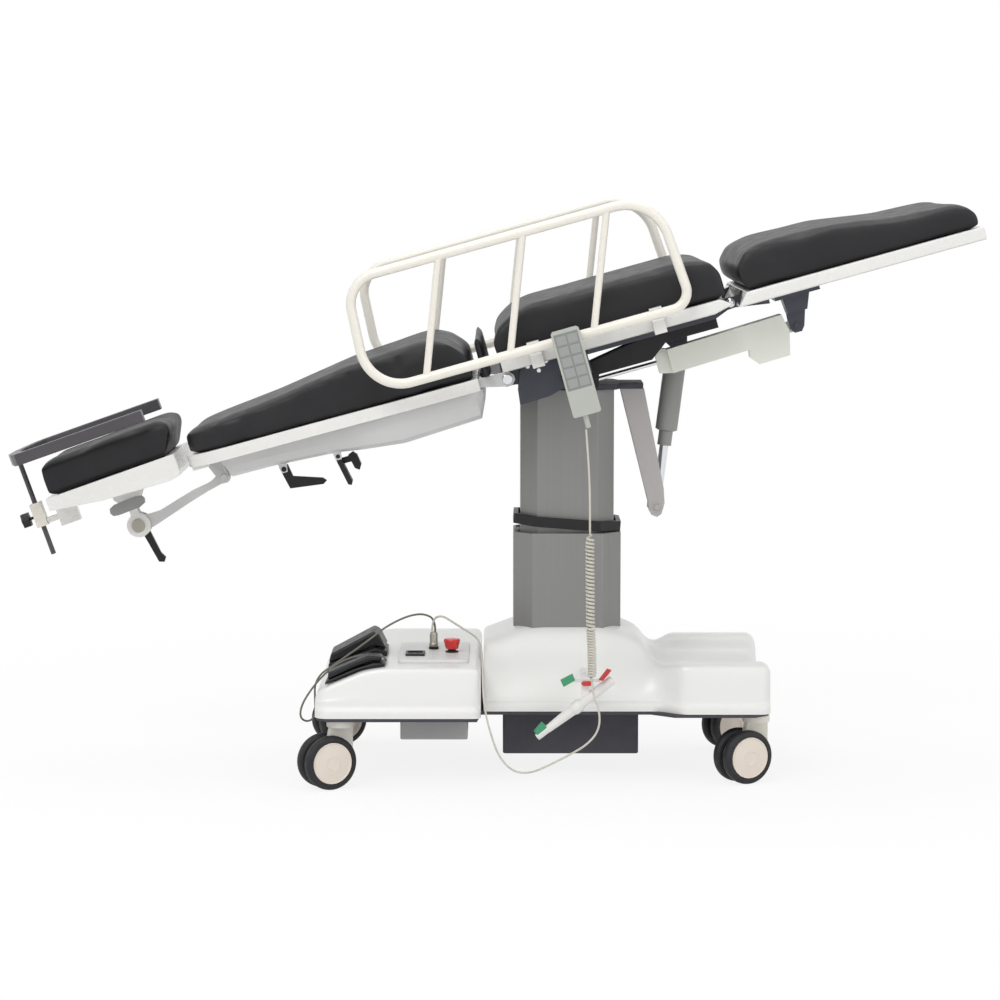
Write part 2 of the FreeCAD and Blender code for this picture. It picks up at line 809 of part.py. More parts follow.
def make_upper_column():
    body = new_body("upper_column")
    plan = octagon(D.column_half, D.column_deep, D.column_cut)
    height = D.column_top - D.column_low
    pad(body, outline(body, "XY_Plane", [plan], offset=D.column_low), height)
    wall = D.column_wall
    inner = octagon(D.column_half - wall, D.column_deep - wall, D.column_cut - wall / 2)
    pocket(body, outline(body, "XY_Plane", [inner], offset=D.column_top - 8), height)
    return keep(body, "upper_column")


def make_column_head():
    """Top plate with two ears that carry the tilt shaft."""
    low = D.column_top
    top = low + 12
    middle = D.pivot_height
    body = new_body("column_head")
    plan = both_sides([(-D.column_half - 4, D.column_deep - 2), (D.column_half + 2, D.column_deep - 2),
                       (D.column_half + 12, 46), (D.column_half + 58, 46)])
    pad(body, outline(body, "XY_Plane", [plan], offset=low), 12)
    ear = [(-40, top), (40, top), (D.shaft_radius + 8, middle + 12), (10, middle + D.shaft_radius + 8),
           (-10, middle + D.shaft_radius + 8), (-D.shaft_radius - 8, middle + 12)]
    for side in (-1, 1):
        pad(body, outline(body, "XZ_Plane", [ear], offset=side * (D.column_deep - 19)), 18, symmetric=True)
    shaft = outline(body, "XZ_Plane", circles=[((0, middle), D.shaft_radius)])
    pad(body, shaft, 2 * D.cheek_out + 12, symmetric=True)
    return keep(body, "column_head")


def make_torque_arms():
    top = D.column_top
    x = D.arm_pin_x
    z = D.arm_pin_z
    side = [(x - 74, top), (x - 27, top), (x + 13, z + 38), (x + 15, z + 8), (x + 9, z - 14), (x, z - 20),
            (x - 11, z - 16), (x - 17, z - 6), (x - 16, z + 4)]
    cheeks = []
    for sign in (-1, 1):
        body = new_body("torque_arm_%d" % (sign + 1))
        middle = sign * (D.torque_gap + D.torque_thick / 2)
        pad(body, outline(body, "XZ_Plane", [side], offset=-middle), D.torque_thick, symmetric=True)
        cheeks.append(body)
    reach = D.torque_gap + D.torque_thick + 4
    cross = pin("arm_pin", D.arm_pin_radius, (x, -reach, z), 2 * reach)
    return keep(fuse("torque_arm_pair", cheeks + [cross]), "torque_arms")


# Tilt drive, in its own frame: origin at the lower pin, +Z along the rod


def tilt_drive():
    """Frame of the tilt drive, and the distance between its two pins."""
    across = D.tilt_lug_x
    up = D.tilt_lug_z
    top_x, _, top_z = in_bed(across, up)
    run_x = top_x.number - D.arm_pin_x.number
    run_z = top_z.number - D.arm_pin_z.number
    reach = "sqrt((%s) ^ 2 + (%s) ^ 2)" % ((top_x - D.arm_pin_x).formula, (top_z - D.arm_pin_z).formula)
    span = Size(math.hypot(run_x, run_z), reach)
    lean = Size(math.degrees(math.atan2(run_x, run_z)),
                "atan2(%s; %s)" % ((top_x - D.arm_pin_x).formula, (top_z - D.arm_pin_z).formula))
    return Frame((D.arm_pin_x, 0, D.arm_pin_z), (0, 1, 0), lean), span


def make_tilt_rod(spot, span):
    eye = pin("rod_eye", 15, (0, -11, 0), 22)
    stem = pin("rod_stem", D.tilt_rod_radius, (0, 0, 11), span - 160, "z")
    bore = pin("rod_bore", D.arm_pin_radius + D.pin_gap, (0, -12, 0), 24)
    return keep(cut("rod_form", fuse("rod_solid", [eye, stem]), [bore]), "tilt_rod", spot)


def make_tilt_housing(spot, span):
    body = new_body("tilt_barrel")
    r = D.tilt_rod_radius + D.pin_gap
    wide = D.tilt_body_radius
    low = 122
    profile = [(r, low), (14, low), (14, low + 28), (wide, low + 32), (wide, span - 34),
               (wide - 6, span - 26), (r, span - 26)]
    revolve(body, outline(body, "XZ_Plane", [profile]))
    cap = pin("housing_cap", 14, (0, 0, span - 27), 18, "z")
    eye = pin("housing_eye", 15, (0, -10, span), 20)
    bore = pin("housing_bore", D.lug_pin_radius + D.link_gap, (0, -12, span), 24)
    solid = fuse("housing_solid", [body, cap, eye])
    return keep(cut("housing_form", solid, [bore]), "tilt_housing", spot)


# Bed sections: all outlines are drawn in the bed's own frame


def hinge_notches(x0, x1, y0, y1):
    """Rectangles at both sides where the leg hinge's lugs pass a tray."""
    return [rectangle(x0, x1, y0, y1), rectangle(x0, x1, -y1, -y0)]


def make_seat_tray():
    """Inverted pan under the seat, with its pointed foot end."""
    low = D.tray_low
    top = D.tray_top
    right = D.seat_right
    half = D.seat_half - 2
    body = new_body("seat_tray")
    side = [(D.seat_left + 6, low), (right - 39, low), (right - 1, low + 9), (right - 22, top),
            (D.seat_left + 6, top)]
    pad(body, outline(body, "XZ_Plane", [side]), 2 * half, symmetric=True)
    wall = D.tray_wall
    hollow = rectangle(D.seat_left + 6 + wall, right - 44, -half + wall, half - wall)
    pocket(body, outline(body, "XY_Plane", [hollow], offset=low), top - low - wall, reverse=True)
    notches = hinge_notches(D.leg_hinge_x - 48, D.leg_hinge_x + 8, 140, 176)
    pocket(body, outline(body, "XY_Plane", notches, offset=low), top - low - wall, reverse=True)
    return keep(body, "seat_tray", BED)


def make_pad(label, side, half, edge, frame=BED):
    """A padded cushion: a plain block with its upper edges rounded over."""
    body = new_body(label)
    pad(body, outline(body, "XZ_Plane", [side]), 2 * half, symmetric=True)
    high = max(point[1].number for point in side)
    low = min(point[1].number for point in side)
    round_edges(body, edge, lambda run, mid: abs(run.y) < 0.1 and abs(mid.y) > float(half) - 1
                and mid.z > low + 0.45 * (high - low) and abs(run.x) > 0.6)
    return keep(body, label, frame)


def make_seat_cushion():
    low = D.tray_top + D.pad_gap
    top = D.seat_pad_top
    left = D.seat_left
    right = D.seat_right
    side = [(left - 4, low), (left - 7, low + 30), (left + 8, top - 27), (left + 46, top - 7),
            (left + 86, top), (right - 70, top), (right - 15, top - 12), (right - 1, top - 37), (right, low)]
    return make_pad("seat_cushion", side, D.seat_half, 14)


def make_leg_tray():
    low = D.tray_low
    top = D.tray_top
    half = D.seat_half - 2
    body = new_body("leg_tray")
    side = [(D.leg_left - 6, low), (D.leg_right - 4, low), (D.leg_right - 4, top), (D.leg_left + 16, top)]
    pad(body, outline(body, "XZ_Plane", [side]), 2 * half, symmetric=True)
    wall = D.tray_wall
    hollow = rectangle(D.leg_left + 20, D.leg_right - 8, -half + wall, half - wall)
    pocket(body, outline(body, "XY_Plane", [hollow], offset=low), top - low - wall, reverse=True)
    notches = hinge_notches(D.leg_hinge_x + 2, D.leg_left + 26, 145, 167)
    pocket(body, outline(body, "XY_Plane", notches, offset=low), top - low - wall, reverse=True)
    return keep(body, "leg_tray", BED)


def make_leg_cushion():
    low = D.tray_top + D.pad_gap
    top = D.leg_pad_top
    left = D.leg_left
    right = D.leg_right
    end = D.leg_end_top
    side = [(left + 14, low), (left, low + 18), (left, top - 31), (left + 21, top - 8), (left + 76, top),
            (left + 206, top - 4), (left + 336, end + 9), (right - 42, end + 3), (right - 16, end - 3),
            (right, end - 23), (right, low)]
    return make_pad("leg_cushion", side, D.seat_half, 14)


def back_plan(edge):
    """Plan of the back section, drawn in by an edge: narrow at the head end."""
    left = D.back_left + edge
    wide = D.back_half_wide - edge
    thin = D.back_half_thin - edge
    return both_sides([(left, thin - 70), (left + 14, thin - 30), (left + 44, thin - 4), (left + 90, thin + 6),
                       (D.back_left + 250, thin + 14), (D.back_left + 470, wide),
                       (D.back_right - edge, wide)])


def make_back_tray():
    body = new_body("back_tray")
    low = D.back_low
    pad(body, outline(body, "XY_Plane", [back_plan(as_size(1))], offset=low), D.back_top - low)
    rim = 20
    hollow = outline(body, "XY_Plane", [back_plan(as_size(rim))], offset=low)
    pocket(body, hollow, D.back_top - low - D.tray_wall, reverse=True)
    slots = []
    for side in (-1, 1):
        y = side * D.back_arm_side
        slots.append(rectangle(D.back_right - 61, D.back_right + 5, y - 4.3, y + 4.3))
    pocket(body, outline(body, "XY_Plane", slots, offset=low), D.back_top - low - D.tray_wall, reverse=True)
    lug = [(D.back_left + 6, low - 8), (D.back_left + 40, low - 8), (D.back_left + 40, low + 6),
           (D.back_left + 6, low + 6)]
    for side in (-1, 1):
        pad(body, outline(body, "XZ_Plane", [lug], offset=side * 120), 30, symmetric=True)
    return keep(body, "back_tray", BED)


def make_back_cushion():
    """The back pad, cut to its plan from a block with the long side outline."""
    low = D.back_top + D.pad_gap
    left = D.back_left
    right = D.back_right
    end = D.back_end_top
    top = D.back_pad_top
    side = [(left, low), (left - 1, end - 6), (left + 10, end), (left + 188, end + 17), (left + 353, top - 8),
            (left + 508, top + 1), (right - 62, top - 1), (right - 28, top - 14), (right - 12, top - 34),
            (right, top - 49), (right, low)]
    block = new_body("back_block")
    pad(block, outline(block, "XZ_Plane", [side]), 600, symmetric=True)
    plan = new_body("back_plan_form")
    pad(plan, outline(plan, "XY_Plane", [back_plan(as_size(0))]), 300)
    pad_form = DOC.addObject("Part::MultiCommon", "back_pad")
    pad_form.Shapes = [block, plan]
    strip = new_body("gap_strip")
    middle = D.seat_left - 27
    roll = [(middle - 6, D.back_top - 3), (middle + 6, D.back_top - 3), (middle + 6, top - 26),
            (middle + 2, top - 15), (middle - 2, top - 15), (middle - 6, top - 26)]
    pad(strip, outline(strip, "XZ_Plane", [roll]), 2 * D.back_half_wide - 20, symmetric=True)
    holder = bar("strip_holder", (D.back_right - 0.7, -60, D.back_low + 8), (middle + 6, 60, D.back_top - 2))
    return keep(pad_form, "back_cushion", BED), keep(fuse("strip_form", [strip, holder]), "gap_roll", BED)


def shroud_section(body, across, half, low, high):
    """A tub section: round flanks between its floor and its open top."""
    depth = high - low
    points = [(half - 24, low), (half - 8, low + 0.14 * depth), (half, low + 0.5 * depth), (half, high)]
    return outline(body, "YZ_Plane", [both_flanks(points)], offset=across)


def make_back_shroud():
    """Moulded tub under the back section, wider and deeper towards the seat."""
    body = new_body("shroud_tub")
    low = D.back_low - D.pad_gap
    left = D.back_left
    right = D.back_right
    stations = ((left + 58, 92, low - 9), (left + 71, 98, low - 43), (left + 152, 112, low - 43),
                (left + 290, 168, low - 47), (left + 346, 190, low - 54), (left + 425, 205, low - 62),
                (right - 14, 200, low - 56), (right + 2, 190, low - 22))
    sections = []
    for across, half, floor in stations:
        sections.append(shroud_section(body, across, as_size(half), floor, low))
    loft(body, sections)
    core = new_body("shroud_core")
    inner = []
    for across, half, floor in stations:
        shift = 6 if across is stations[0][0] else (-6 if across is stations[-1][0] else 0)
        inner.append(shroud_section(core, across + shift, as_size(half - 5), floor + D.shroud_wall, low + 0.5))
    loft(core, inner)
    tub = cut("shroud_form", body, [core])
    lugs = []
    for name, x, y, radius in (("handle", left + 289, -145, 4), ("hook", left + 175, -90, 5)):
        lug = new_body(name + "_lug")
        face = [(x - 9, low - 42), (x + 9, low - 42), (x + 6, low - 62), (x - 6, low - 62)]
        eye = [((x, low - 55), radius + D.pin_gap)]
        pad(lug, outline(lug, "XZ_Plane", [face], eye, -y), 5, symmetric=True)
        lugs.append(lug)
    return keep(fuse("shroud_with_lugs", [tub] + lugs), "back_shroud", BED)


def make_back_fittings():
    """Release handle and hook lever below the shroud, on the shroud's lugs."""
    level = D.back_low - D.pad_gap - 55
    px = D.back_left + 289
    side = [(px - 8, level + 4), (px + 2, level + 7), (px + 14, -88), (px + 10, -95), (px + 4, -92)]
    blade = side_form("blade_form", side, as_size(-129), 26)
    knob_side = [(px + 18, -38), (px + 28, -34), (px + 35, -42), (px + 38, -62), (px + 32, -72), (px + 24, -66)]
    knob = side_form("knob_form", knob_side, as_size(-112), 22)
    link = pin("handle_shaft", 4, (px, -148, level), 46)
    arm = bar("handle_arm", (px, -120, -52), (px + 25, -112, -40))
    keep(fuse("handle_form", [blade, knob, link, arm]), "back_release_handle", BED)
    hx = D.back_left + 166
    hook_side = [(hx, level + 5), (hx + 18, level + 7), (hx + 22, -52), (hx + 78, -71), (hx + 84, -78),
                 (hx + 76, -83), (hx + 10, -74)]
    hook = side_form("hook_form", hook_side, as_size(-80), 12)
    pivot = pin("hook_pivot", 5, (hx + 9, -93, level), 14)
    keep(fuse("hook_lever_form", [hook, pivot]), "back_hook_lever", BED)


def make_head_arm_mount():
    """Clevis under the back tray's head end that carries the head arm."""
    x = D.arm_hinge_x
    z = D.arm_hinge_z
    cheeks = []
    for sign in (-1, 1):
        body = new_body("arm_cheek_%d" % (sign + 1))
        side = [(x - 11, z - 4), (x - 6, z - 12), (x + 6, z - 12), (x + 11, z - 4), (x + 6, z + 30),
                (x + 6, D.back_low), (x - 30, D.back_low)]
        pad(body, outline(body, "XZ_Plane", [side], offset=-sign * 17), 8, symmetric=True)
        cheeks.append(body)
    cross = pin("arm_cross_pin", D.head_pin_radius, (x, -24, z), 48)
    return fuse("arm_mount_form", cheeks + [cross])


def make_back_hinge():
    """Arms from the back tray to the hinge, one at each side."""
    x = D.back_hinge_x
    z = D.back_hinge_z
    low = D.back_low
    top = D.back_top - D.tray_wall
    arm = [(D.back_right - 60, low + 2), (D.back_right + 5, low + 2), (x - 8, z - 13), (x + 6, z - 14),
           (x + 14, z - 5), (x + 14, z + 5), (x + 6, z + 14), (x - 8, top), (D.back_right - 60, top)]
    arms = []
    for side in (-1, 1):
        body = new_body("hinge_arm_%d" % (side + 1))
        eye = [((x, z), 7 + D.pin_gap)]
        middle = side * D.back_arm_side
        pad(body, outline(body, "XZ_Plane", [arm], eye, -middle), 8, symmetric=True)
        arms.append(body)
    return keep(group("hinge_arm_pair", arms + [make_head_arm_mount()]), "back_brackets", BED)


def make_leg_drive_bracket():
    """Dark plates under the seat, at both sides of the leg drive: the rods' yoke sits free between them."""
    y = D.leg_drive_y
    low = D.frame_low
    side = [(24, -38), (50, -38), (58, -14), (165, -14), (200, 12), (306, 12), (306, low), (148, low), (43, 13),
            (24, 8)]
    plates = [side_form("drive_plate_%d" % (sign + 1), side, y + sign * 32, 4) for sign in (-1, 1)]
    bridge = bar("drive_bridge", (150, -138, low), (256, y + 34, low + 6))
    return plates + [bridge]


def make_rail_feet(side):
    """Brackets out from a beam and up past the tray, each with a saddle that the rail turns in."""
    feet = []
    low = D.frame_low
    middle = side * D.rail_side
    wall = D.rail_radius + 3
    for index, spot in enumerate(RAIL_FEET):
        name = "%d_%d" % (side + 1, index)

        def block(label, near, far, z0, z1):
            lows, highs = (near, far) if side > 0 else (-far, -near)
            return bar("%s_%s" % (label, name), (spot, lows, z0), (spot + RAIL_FOOT, highs, z1))

        arm = block("rail_foot", as_size(166), as_size(272), low + 8, D.tray_low)
        stand = block("rail_stand", as_size(264), as_size(272), D.tray_low, D.rail_low + wall)
        cup = block("rail_cup", as_size(272), D.rail_side + 4, D.rail_low - wall, D.rail_low + wall)
        bore = pin("rail_bore_" + name, D.rail_radius + D.run_gap, (spot - 10, middle, D.rail_low), 50, "x")
        feet.append(cut("rail_saddle_" + name, fuse("rail_bracket_" + name, [arm, stand, cup]), [bore]))
    return feet


def make_frame_beam(side):
    """One long beam with the lugs of the leg hinge and the back hinge at its ends."""
    low = D.frame_low
    top = D.tray_low
    y0, y1 = (138, 166) if side > 0 else (-166, -138)
    beam = bar("frame_beam_%d" % (side + 1), (D.back_hinge_x - 6, y0, low), (306, y1, top))
    arm = [(296, low), (306, low), (D.leg_hinge_x - 8, D.leg_hinge_z - 13),
           (D.leg_hinge_x + 8, D.leg_hinge_z - 12), (D.leg_hinge_x + 12, D.leg_hinge_z),
           (D.leg_hinge_x + 4, D.leg_hinge_z + 11), (D.leg_hinge_x - 10, D.leg_hinge_z + 9), (296, top)]
    leg = new_body("leg_lug_%d" % (side + 1))
    eye = [((D.leg_hinge_x, D.leg_hinge_z), 6 + D.pin_gap)]
    pad(leg, outline(leg, "XZ_Plane", [arm], eye, -side * 152), 10, symmetric=True)
    lug = [(D.back_hinge_x - 13, top - 3), (D.back_hinge_x - 15, D.back_hinge_z - 6),
           (D.back_hinge_x - 6, D.back_hinge_z - 15), (D.back_hinge_x + 10, D.back_hinge_z - 15),
           (D.back_hinge_x + 53, D.back_hinge_z - 23), (D.back_hinge_x + 53, top), (D.back_hinge_x + 4, top)]
    back = new_body("back_lug_%d" % (side + 1))
    middle = side * (D.back_arm_side - 15)
    eye = [((D.back_hinge_x, D.back_hinge_z), 7 + D.pin_gap)]
    pad(back, outline(back, "XZ_Plane", [lug], eye, -middle), 10, symmetric=True)
    return fuse("beam_solid_%d" % (side + 1), [beam, leg, back])


def make_tilt_lugs():
    """The lugs that the tilt drive's upper end sits between, with their pin."""
    lug_x = D.tilt_lug_x
    lug_z = D.tilt_lug_z
    top = D.tray_low
    plate_side = [(lug_x - 16, lug_z - 8), (lug_x - 6, lug_z - 15), (lug_x + 6, lug_z - 15),
                  (lug_x + 16, lug_z - 6), (256, D.frame_low), (256, top), (lug_x - 40, top),
                  (lug_x - 40, D.frame_low - 4)]
    lugs = [side_form("tilt_lug_%d" % (sign + 1), plate_side, as_size(sign * 22), 8) for sign in (-1, 1)]
    return lugs + [pin("tilt_lug_pin", D.lug_pin_radius, (lug_x, -18, lug_z), 36)]


def make_seat_frame():
    """Beams under the seat tray with the lugs of every pivot that they carry."""
    low = D.frame_low
    top = D.tray_low
    pieces = [make_frame_beam(side) for side in (-1, 1)]
    for side in (-1, 1):
        pieces += make_rail_feet(side)
    pieces.append(bar("cross_back", (-100, -138, low), (-70, 138, top)))
    pieces.append(bar("cross_front", (256, -138, low), (296, 138, top)))
    pieces += make_tilt_lugs()
    pieces += make_leg_drive_bracket()
    return keep(group("frame_form", pieces), "seat_frame", BED)


def make_cheek_plates():
    """Side plates that hang the seat frame on the tilt shaft."""
    foot = as_size(RAIL_FEET[0])
    notch = D.frame_low + 7.7
    side = [(-106, -29), (-46, -27), (46, -5), (46, 44), (foot + RAIL_FOOT + 0.3, 44),
            (foot + RAIL_FOOT + 0.3, notch), (foot - 0.3, notch), (foot - 0.3, 44), (-78, 44), (-90, 36),
            (-102, 2)]
    plates = []
    for sign in (-1, 1):
        body = new_body("cheek_%d" % (sign + 1))
        middle = sign * (D.cheek_out - D.cheek_thick / 2)
        pad(body, outline(body, "XZ_Plane", [side], [((0, 0), D.shaft_radius + D.pin_gap)], -middle),
            D.cheek_thick, symmetric=True)
        reach = D.cheek_out - D.cheek_thick
        lows, highs = (as_size(166), reach) if sign > 0 else (-reach, as_size(-166))
        spacer = bar("cheek_spacer_%d" % (sign + 1), (-34, lows, D.frame_low), (20, highs, D.tray_low - 4))
        plates.append(fuse("cheek_solid_%d" % (sign + 1), [body, spacer]))
    return keep(group("cheek_pair", plates), "cheek_plates", BED)


def make_hinge_pins():
    """Pins of the back and leg hinges, held in the seat frame's lugs."""
    pins = []
    for side in (-1, 1):
        x, z = D.back_hinge_x, D.back_hinge_z
        y = side * D.back_arm_side
        lows = y - 20 if side > 0 else y - 8
        pins.append(fuse("back_pin_%d" % (side + 1), [
            pin("back_pin_stem_%d" % (side + 1), 7, (x, lows, z), 28),
            pin("back_pin_head_%d" % (side + 1), 10, (x, y + (4.3 if side > 0 else -8.3), z), 4)]))
        x, z = D.leg_hinge_x, D.leg_hinge_z
        y = side * 152
        lows = y - 6 if side > 0 else y - 22
        pins.append(fuse("leg_pin_%d" % (side + 1), [
            pin("leg_pin_stem_%d" % (side + 1), 6, (x, lows, z), 28),
            pin("leg_pin_head_%d" % (side + 1), 9, (x, y + (14.4 if side > 0 else -18.4), z), 4)]))
    return keep(group("pins", pins), "hinge_pins", BED)


def make_leg_hinge():
    """Arms from the leg tray to the leg hinge."""
    x = D.leg_hinge_x
    z = D.leg_hinge_z
    side = [(x + 4, z - 11), (D.leg_left + 60, D.tray_low - 14), (D.leg_left + 60, D.tray_top - D.tray_wall),
            (D.leg_left + 22, D.tray_top - D.tray_wall), (x + 8, z + 10), (x - 4, z + 11), (x - 11, z + 2),
            (x - 8, z - 9)]
    arms = []
    for sign in (-1, 1):
        body = new_body("leg_arm_%d" % (sign + 1))
        pad(body, outline(body, "XZ_Plane", [side], [((x, z), 6 + D.pin_gap)], -sign * 162), 8, symmetric=True)
        arms.append(body)
    return arms


def make_leg_bracket():
    """Trapezoid block and clevis that take the leg drive, under the leg tray."""
    x = D.leg_pin_x
    z = D.leg_pin_z
    low = D.tray_low
    y = D.leg_drive_y
    block = new_body("bracket_block")
    face = [(x - 15, low - 13), (x + 39, low - 13), (x + 27, z + 27), (x - 12, z + 27)]
    pad(block, outline(block, "XZ_Plane", [face], offset=-y), 60, symmetric=True)
    top = bar("bracket_top", (x - 30, y - 40, low - 13), (x + 60, y + 40, D.tray_top - D.tray_wall))
    cheeks = []
    for sign in (-1, 1):
        body = new_body("clevis_%d" % (sign + 1))
        side = [(x - 12, z + 28), (x - 14, z - 4), (x - 7, z - 13), (x + 7, z - 13), (x + 14, z - 4),
                (x + 24, z + 28)]
        pad(body, outline(body, "XZ_Plane", [side], offset=-(y + sign * 14)), 8, symmetric=True)
        cheeks.append(body)
    cross = pin("clevis_pin", 6, (x, y - 22, z), 44)
    bracket = fuse("bracket_form", [block, top, cross] + cheeks)
    return keep(group("leg_bracket_set", [bracket] + make_leg_hinge()), "leg_brackets", BED)


def make_leg_drive():
    """Cream housing on the clevis pin, and the twin rods that slide in it."""
    x = D.leg_pin_x
    z = D.leg_pin_z
    y = D.leg_drive_y
    body = new_body("leg_housing")
    side = [(198, z - 25), (198, z + 23), (x - 24, z + 29), (x - 17, z - 6), (x - 28, z - 52), (365, z - 53),
            (351, z - 37), (354, z - 21)]
    pad(body, outline(body, "XZ_Plane", [side], offset=-y), 50, symmetric=True)
    nose = [(173, z - 19), (198, z - 25), (198, z + 23), (173, z + 34)]
    pad(body, outline(body, "XZ_Plane", [nose], offset=-y), 36, symmetric=True)
    tongue = [(x - 60, z - 9), (x, z - 11), (x + 11, z), (x, z + 11), (x - 60, z + 9)]
    pad(body, outline(body, "XZ_Plane", [tongue], offset=-y), 18, symmetric=True)
    eye = outline(body, "XZ_Plane", circles=[((x, z), 6 + D.pin_gap)], offset=-y)
    pocket(body, eye, 40, symmetric=True)
    bores = [pin("rod_hole_%d" % (side + 1), D.leg_rod_radius + D.pin_gap, (160, y + side * 10, z + 2), 255, "x")
             for side in (-1, 1)]
    keep(cut("leg_housing_form", body, bores), "leg_drive_housing", BED)
    rods = [pin("leg_rod_%d" % (side + 1), D.leg_rod_radius, (38, y + side * 10, z + 2), 226, "x")
            for side in (-1, 1)]
    yoke = bar("rod_yoke", (30, y - 15, z - 6), (40, y + 15, z + 10))
    return keep(fuse("leg_rods_form", rods + [yoke]), "leg_drive_rods", BED)


def make_rail(label, side):
    """Side rail: one tube bent to a loop, with three slanted bars in it."""
    y = side * D.rail_side
    low = D.rail_low
    top = D.rail_top
    corners = [(-375, y, low), (-362, y, top), (246, y, top), (262, y, low)]
    loop, wire, radii = tube_shape(corners, D.rail_radius, [78, 60, 85, 35], closed=True)
    bars = []
    for x0, x1 in ((-263, -178), (-97, -12), (68, 153)):
        lean = (x1 - x0) / (top.number - low.number)
        bars.append(rod_shape((x0, y, low), (x1, y, top), D.rail_bar_radius))
    shape = loop.fuse(bars)
    return shaped(label, shape, BED)


def make_hand_control():
    """Hand control hung by its hook on the near rail's lower tube."""
    y = -D.control_side
    body = new_body("control_case")
    wide = D.control_wide
    left = as_size(-13)
    top = as_size(98)
    foot = top - D.control_long
    face = [(left, foot + 3), (left + 3, foot), (left + wide - 3, foot), (left + wide, foot + 3),
            (left + wide, top - 4), (left + wide - 4, top), (left + 4, top), (left, top - 4)]
    pad(body, outline(body, "XZ_Plane", [face], offset=-y), D.control_thick, reverse=False)
    hook = bar("control_hook", (8, y, D.rail_low - 20), (20, -D.rail_side + 16, D.rail_low + 16))
    slot = pin("hook_slot", D.rail_radius + D.run_gap, (-30, -D.rail_side, D.rail_low), 90, "x")
    relief = pin("control_relief", 5, (as_size(10), y - D.control_thick / 2, foot - 25), 30, "z")
    return keep(cut("control_form", fuse("control_solid", [body, hook, relief]), [slot]), "hand_control", BED)


# Head section: drawn in the head frame, whose origin is the hub


def make_head_arm():
    x = D.arm_hinge_x
    z = D.arm_hinge_z
    hx = D.head_hub_x
    hz = D.head_hub_z
    body = new_body("head_arm")
    side = [(hx - 6, hz - 16), (hx + 30, hz - 10), (hx + 112, hz + 17), (hx + 153, hz + 29),
            (x - 4, z - 11), (x + 8, z - 8), (x + 12, z), (x + 8, z + 9), (x - 4, z + 11), (hx + 158, hz + 44),
            (hx + 122, hz + 38), (hx + 46, hz + 16), (hx + 6, hz + 15)]
    pad(body, outline(body, "XZ_Plane", [side]), 24, symmetric=True)
    eye = outline(body, "XZ_Plane", circles=[((x, z), D.head_pin_radius + D.pin_gap)])
    pocket(body, eye, 60, symmetric=True)
    boss = outline(body, "XZ_Plane", circles=[((hx, hz), D.hub_radius - 2)])
    pad(body, boss, 24, symmetric=True)
    hub_bore = outline(body, "XZ_Plane", circles=[((hx, hz), D.head_pin_radius + D.pin_gap)])
    pocket(body, hub_bore, 60, symmetric=True)
    return keep(body, "head_arm", BED)


def make_head_tray():
    body = new_body("head_pan")
    low = D.head_pad_low
    half = D.head_half - 2
    left = D.head_left
    right = D.head_right
    side = [(left, low - 25), (left + 106, low - 40), (right - 20, low - 48), (right, low - 44),
            (right + 4, low - 34), (right + 4, low), (left, low)]
    pad(body, outline(body, "XZ_Plane", [side]), 2 * half, symmetric=True)
    hollow = [(left + 6, low - 70), (right - 10, low - 70), (right - 10, low - 6), (left + 6, low - 6)]
    pocket(body, outline(body, "XZ_Plane", [hollow]), 2 * half - 12, symmetric=True)
    hanger = []
    for sign in (-1, 1):
        cheek = new_body("head_cheek_%d" % (sign + 1))
        leg = [(-20, 4), (-12, 17), (-8, 26), (-8, 36), (-30, 64), (-34, low - 3), (34, low - 3), (30, 64),
               (8, 36), (8, 26), (12, 17), (20, 4), (12, -16), (-12, -16)]
        pad(cheek, outline(cheek, "XZ_Plane", [leg], offset=-sign * 17), 8, symmetric=True)
        pad(cheek, outline(cheek, "XZ_Plane", circles=[((0, 0), D.hub_radius)], offset=-sign * 17), 8,
            symmetric=True)
        hanger.append(cheek)
    cross = pin("hub_pin", D.head_pin_radius, (0, -24, 0), 48)
    cap = pin("hub_cap", 14, (0, -26, 0), 5.5)
    bracket = bar("wrist_bracket", (left - 9, -12, 50), (left + 31, 12, low - 3))
    rod = pin("wrist_bracket_rod", 6, (D.wrist_out + 12, 0, 70), left - D.wrist_out, "x")
    clamp = new_body("clamp_block")
    post_x = D.wrist_out
    block = rectangle(post_x - 10.5, post_x + 12, -14, 14)
    pad(clamp, outline(clamp, "XY_Plane", [block], offset=62), 49)
    bore = outline(clamp, "XY_Plane", circles=[((post_x, 0), D.wrist_post_radius + D.pin_gap)], offset=62)
    pocket(clamp, bore, 60, reverse=True)
    solid = fuse("head_tray_solid", [body, bracket, rod] + hanger + [cross, cap])
    keep(clamp, "wrist_clamp", HEAD)
    return keep(solid, "head_tray", HEAD)


def make_head_cushion():
    low = D.head_pad_low + D.pad_gap
    top = D.head_pad_top
    left = D.head_left
    right = D.head_right
    side = [(left + 1, low), (left + 2, top - 10), (left + 10, top - 5), (left + 26, top - 3), (right + 12, top),
            (right + 20, top - 10), (right + 20, top - 23), (right + 6, top - 48), (right - 2, low)]
    return make_pad("head_cushion", side, D.head_half, 12, HEAD)


